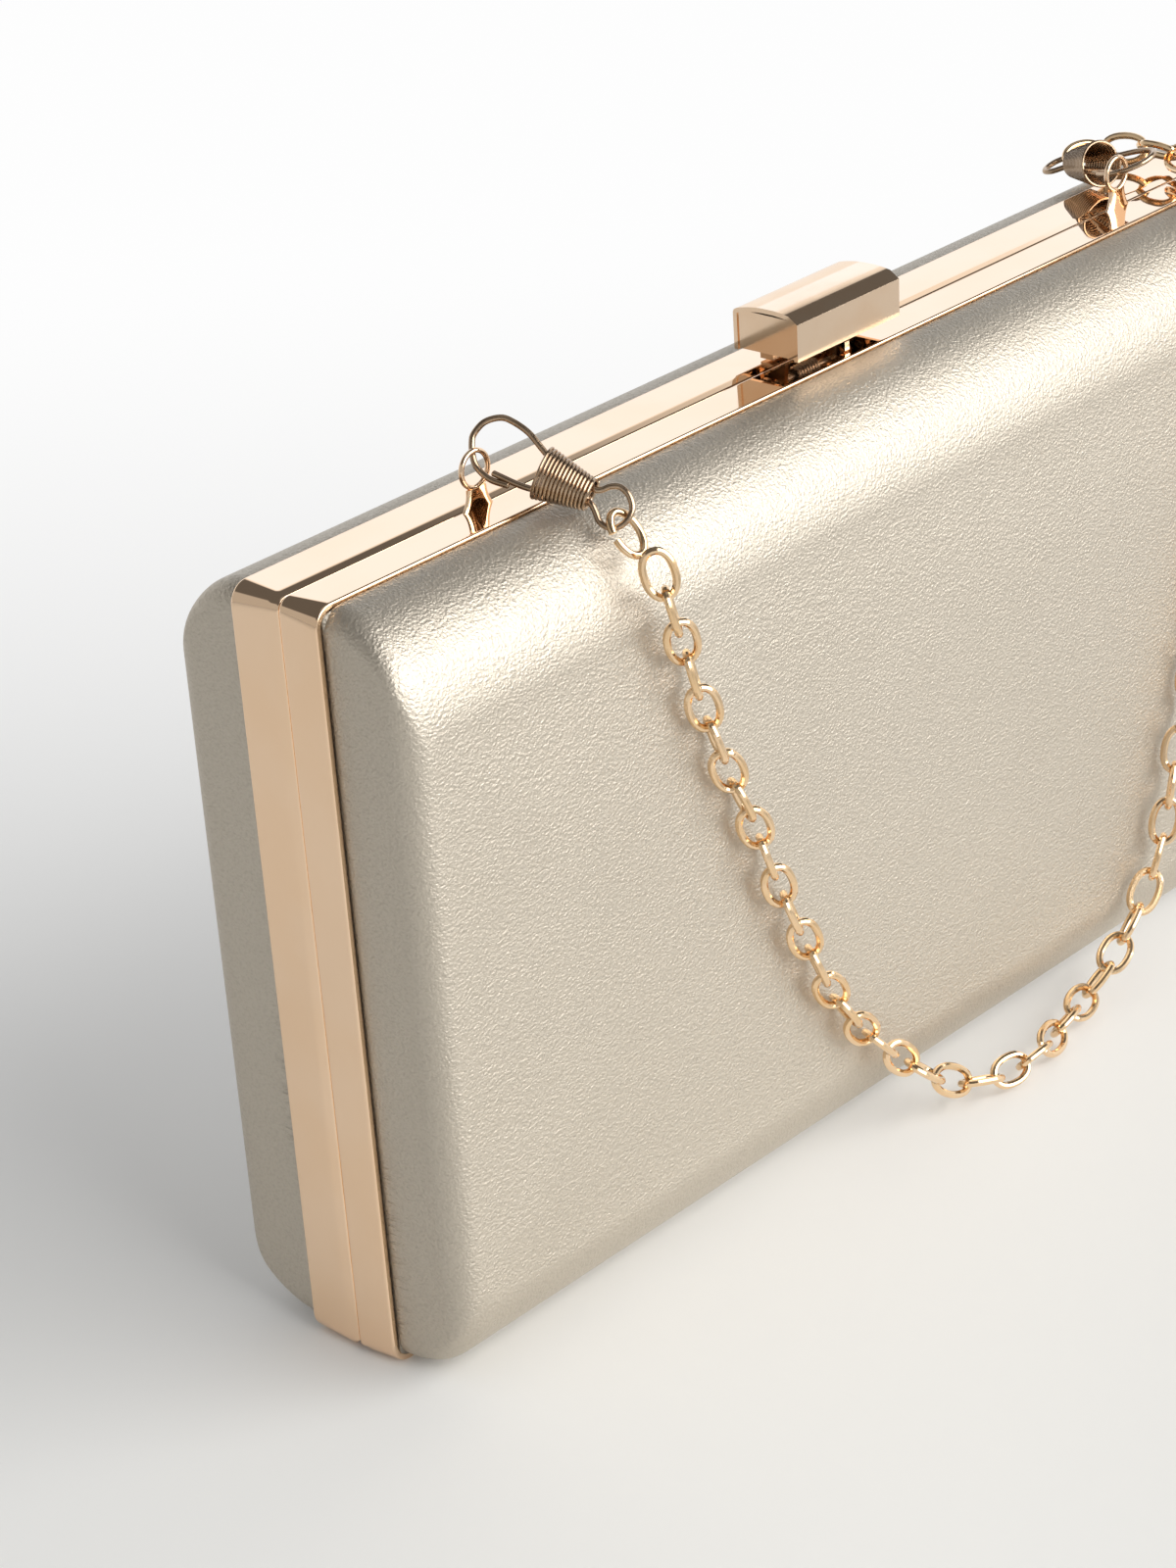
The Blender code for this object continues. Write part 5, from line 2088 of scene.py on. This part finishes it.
@dataclass
class Studio:
    """The camera, the pale floor, the lamps and the sky of the photograph."""

    camera_place: Point = (-0.45553, -0.38528, 0.32820)
    camera_rows: tuple[Point, Point, Point] = (
        (0.6661, -0.7423, -0.0723),
        (-0.3623, -0.2373, -0.9013),
        (0.6519, 0.6266, -0.4270),
    )
    lens: float = 98.86
    sensor: float = 36.0
    nearest: float = 0.01
    lamps: tuple[SoftBox, ...] = (
        SoftBox("key", (0.40, -1.27, 0.75), (2.0, 1.35), 35.5, (0.985, 0.985, 0.975)),
        SoftBox("back", (1.10, 1.06, 0.66), (1.8, 0.36), 0.8, (0.35, 0.60, 1.0)),
    )
    lamp_aim: Point = (0.0, 0.0, 0.06)
    floor_level: float = -0.04 * MM
    floor_radii: tuple[float, ...] = (0.02, 0.3, 0.8, 1.6, 3.0)
    floor_steps: int = 96
    floor_colour: Colour = (0.84, 0.835, 0.815)
    # painted shade: colour of a painted falloff of light on the floor towards the front right
    floor_painted_falloff: Colour = (0.12, 0.12, 0.12)
    floor_roughness: float = 0.75
    floor_lustre: float = 0.2
    fade_way: Point = (0.72, 0.69, 0.0)
    fade: Span = (-0.16, 0.42)
    # painted shade: direction, span and share of that painted falloff of light
    painted_falloff_way: Point = (0.6, -0.8, 0.0)
    painted_falloff_span: Span = (0.0, 0.28)
    painted_falloff_share: float = 0.6
    screen_way: Point = (-0.95, -0.30, 0.0)
    screen_span: Span = (-0.32, 0.22)
    room_span: Span = (0.46, 0.52)
    ceiling_span: Span = (0.86, 0.99)
    top_way: Point = (-0.25, 0.30, 0.92)
    top_span: Span = (0.45, 0.95)
    white: Colour = (0.985, 0.985, 0.985)
    screen: Colour = (1.0, 0.99, 0.97)
    camera_side: Colour = (0.50, 0.49, 0.47)
    room: Colour = (0.13, 0.125, 0.12)
    ceiling: Colour = (0.38, 0.375, 0.365)
    ambient: Colour = (0.30, 0.30, 0.30)
    ambient_side: Colour = (0.05, 0.05, 0.05)
    ambient_top: Colour = (0.66, 0.66, 0.66)

    def add_camera(self) -> None:
        """Set the camera from its right, down and forward directions."""
        right, down, forward = (Vector(row) for row in self.camera_rows)
        turn = Matrix((right, -down, -forward)).transposed()
        data = bpy.data.cameras.new("camera")
        data.lens = self.lens
        data.sensor_width = self.sensor
        data.clip_start = self.nearest
        camera = bpy.data.objects.new("camera", data)
        camera.matrix_world = Matrix.Translation(self.camera_place) @ turn.to_4x4()
        bpy.context.scene.collection.objects.link(camera)
        bpy.context.scene.camera = camera

    def add_lamp(self, box: SoftBox) -> None:
        """Add a soft box that looks at the case.

        Args:
            box: The lamp's form and light.
        """
        data = bpy.data.lights.new(box.name, "AREA")
        data.shape = "RECTANGLE"
        data.size, data.size_y = box.size
        data.energy = box.power
        data.color = box.colour
        lamp = bpy.data.objects.new(box.name, data)
        lamp.location = box.place
        aim = Vector(self.lamp_aim) - Vector(box.place)
        lamp.rotation_euler = aim.to_track_quat("-Z", "Y").to_euler()
        bpy.context.scene.collection.objects.link(lamp)

    def add_floor(self) -> None:
        """Lay a round pale floor that brightens to white behind the case, with a painted falloff of light
        that darkens it towards the front right.
        """
        angle = np.linspace(0, 2 * math.pi, self.floor_steps, endpoint=False)
        radii = np.array(self.floor_radii)
        grid = np.zeros((len(radii), len(angle), 3))
        grid[..., 0] = radii[:, None] * np.cos(angle)
        grid[..., 1] = radii[:, None] * np.sin(angle)
        grid[..., 2] = self.floor_level
        surface = Surface.from_grid(grid, wrap_columns=True)
        surface.faces.append(list(range(len(angle))))
        floor = surface.to_object("studio_floor")
        graph = FinishGraph("floor_paper")
        # painted shade: the floor's colour darkens towards the front right, standing in for light falling
        # off
        front = graph.along(graph.place, self.painted_falloff_way)
        painted_falloff_mask = graph.remap(front, *self.painted_falloff_span, 0.0, self.painted_falloff_share)
        colour = graph.blend(painted_falloff_mask, self.floor_colour, self.floor_painted_falloff)
        graph.shade(
            Base_Color=colour, Roughness=self.floor_roughness, Specular_IOR_Level=self.floor_lustre
        )
        share = graph.remap(graph.along(graph.place, self.fade_way), *self.fade, 0.0, 1.0)
        rays = graph.add("ShaderNodeLightPath")
        seen = graph.math("MAXIMUM", rays.outputs["Is Camera Ray"], rays.outputs["Is Glossy Ray"])
        glow = graph.add("ShaderNodeEmission")
        glow.inputs["Color"].default_value = (*self.white, 1.0)
        mixer = graph.add("ShaderNodeMixShader")
        graph.feed(graph.math("MULTIPLY", share, seen), mixer.inputs[0])
        graph.feed(graph.shader.outputs[0], mixer.inputs[1])
        graph.feed(glow.outputs[0], mixer.inputs[2])
        graph.feed(mixer.outputs[0], graph.tree.nodes["Material Output"].inputs["Surface"])
        floor.data.materials.append(graph.material)

    def add_sky(self) -> None:
        """Surround the studio: even soft light, and for reflections a pale screen.

        The screen is white up to its upper edge behind the case, dimmer on the
        camera's side, and gives way to the dark room above.
        """
        world = bpy.data.worlds.new("studio")
        bpy.context.scene.world = world
        world.use_nodes = True
        graph = SkyGraph(world.node_tree)
        upward = (0.0, 0.0, 1.0)
        near = graph.level(self.screen_way, *self.screen_span)
        shown = graph.blend(near, self.screen, self.camera_side)
        shown = graph.blend(graph.level(upward, *self.room_span), shown, self.room)
        shown = graph.blend(graph.level(upward, *self.ceiling_span), shown, self.ceiling)
        soft = graph.blend(near, self.ambient, self.ambient_side)
        soft = graph.blend(graph.level(self.top_way, *self.top_span), soft, self.ambient_top)
        rays = graph.add("ShaderNodeLightPath")
        lit = graph.blend(rays.outputs["Is Glossy Ray"], soft, shown)
        result = graph.blend(rays.outputs["Is Camera Ray"], lit, self.white)
        back = graph.tree.nodes["Background"]
        graph.feed(result, back.inputs["Color"])
        back.inputs["Strength"].default_value = 1.0

    def build(self) -> None:
        """Set up the whole studio."""
        self.add_camera()
        self.add_floor()
        self.add_sky()
        for box in self.lamps:
            self.add_lamp(box)
        bpy.context.scene.view_settings.view_transform = "Standard"


def main() -> None:
    """Build every sub-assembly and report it."""
    logging.basicConfig(level=logging.INFO, format="%(name)s: %(message)s")
    case = CaseShape()
    Studio().build()

    lugs = {side: RingLug(case, side) for side in Side}
    left = WireHook(
        lugs[Side.LEFT], axis_shares=(0.371, -0.840, -0.396), side_shares=(0.611, -0.101, 0.785)
    )
    right = WireHook(
        lugs[Side.RIGHT], axis_shares=(0.290, 0.931, -0.220), side_shares=(0.940, -0.234, 0.250)
    )
    left_ring = EndRing(
        left,
        hold=(1.570, -0.382),
        axis_shares=(-0.003, -0.620, -0.785),
        side_shares=(0.997, -0.076, 0.005),
        is_open=True,
    )
    right_ring = EndRing(
        right,
        hold=(1.325, 0.540),
        axis_shares=(0.8, -0.6, 0.0),
        side_shares=(0.3, 0.4, 0.866),
        is_open=False,
    )
    others = left.dress() + right.dress() + [left_ring.dress(), right_ring.dress()]
    ChainStrap().dress(others)

    for half in Half:
        Rim(case, half).dress()
        HalfCover(case, half).dress()
        HalfLining(case, half).dress()
    for lug in lugs.values():
        lug.dress()
    LiftClasp(case).dress()
    Hinges().dress()

    LOG.info("boxes written")


if __name__ == "__main__":
    main()
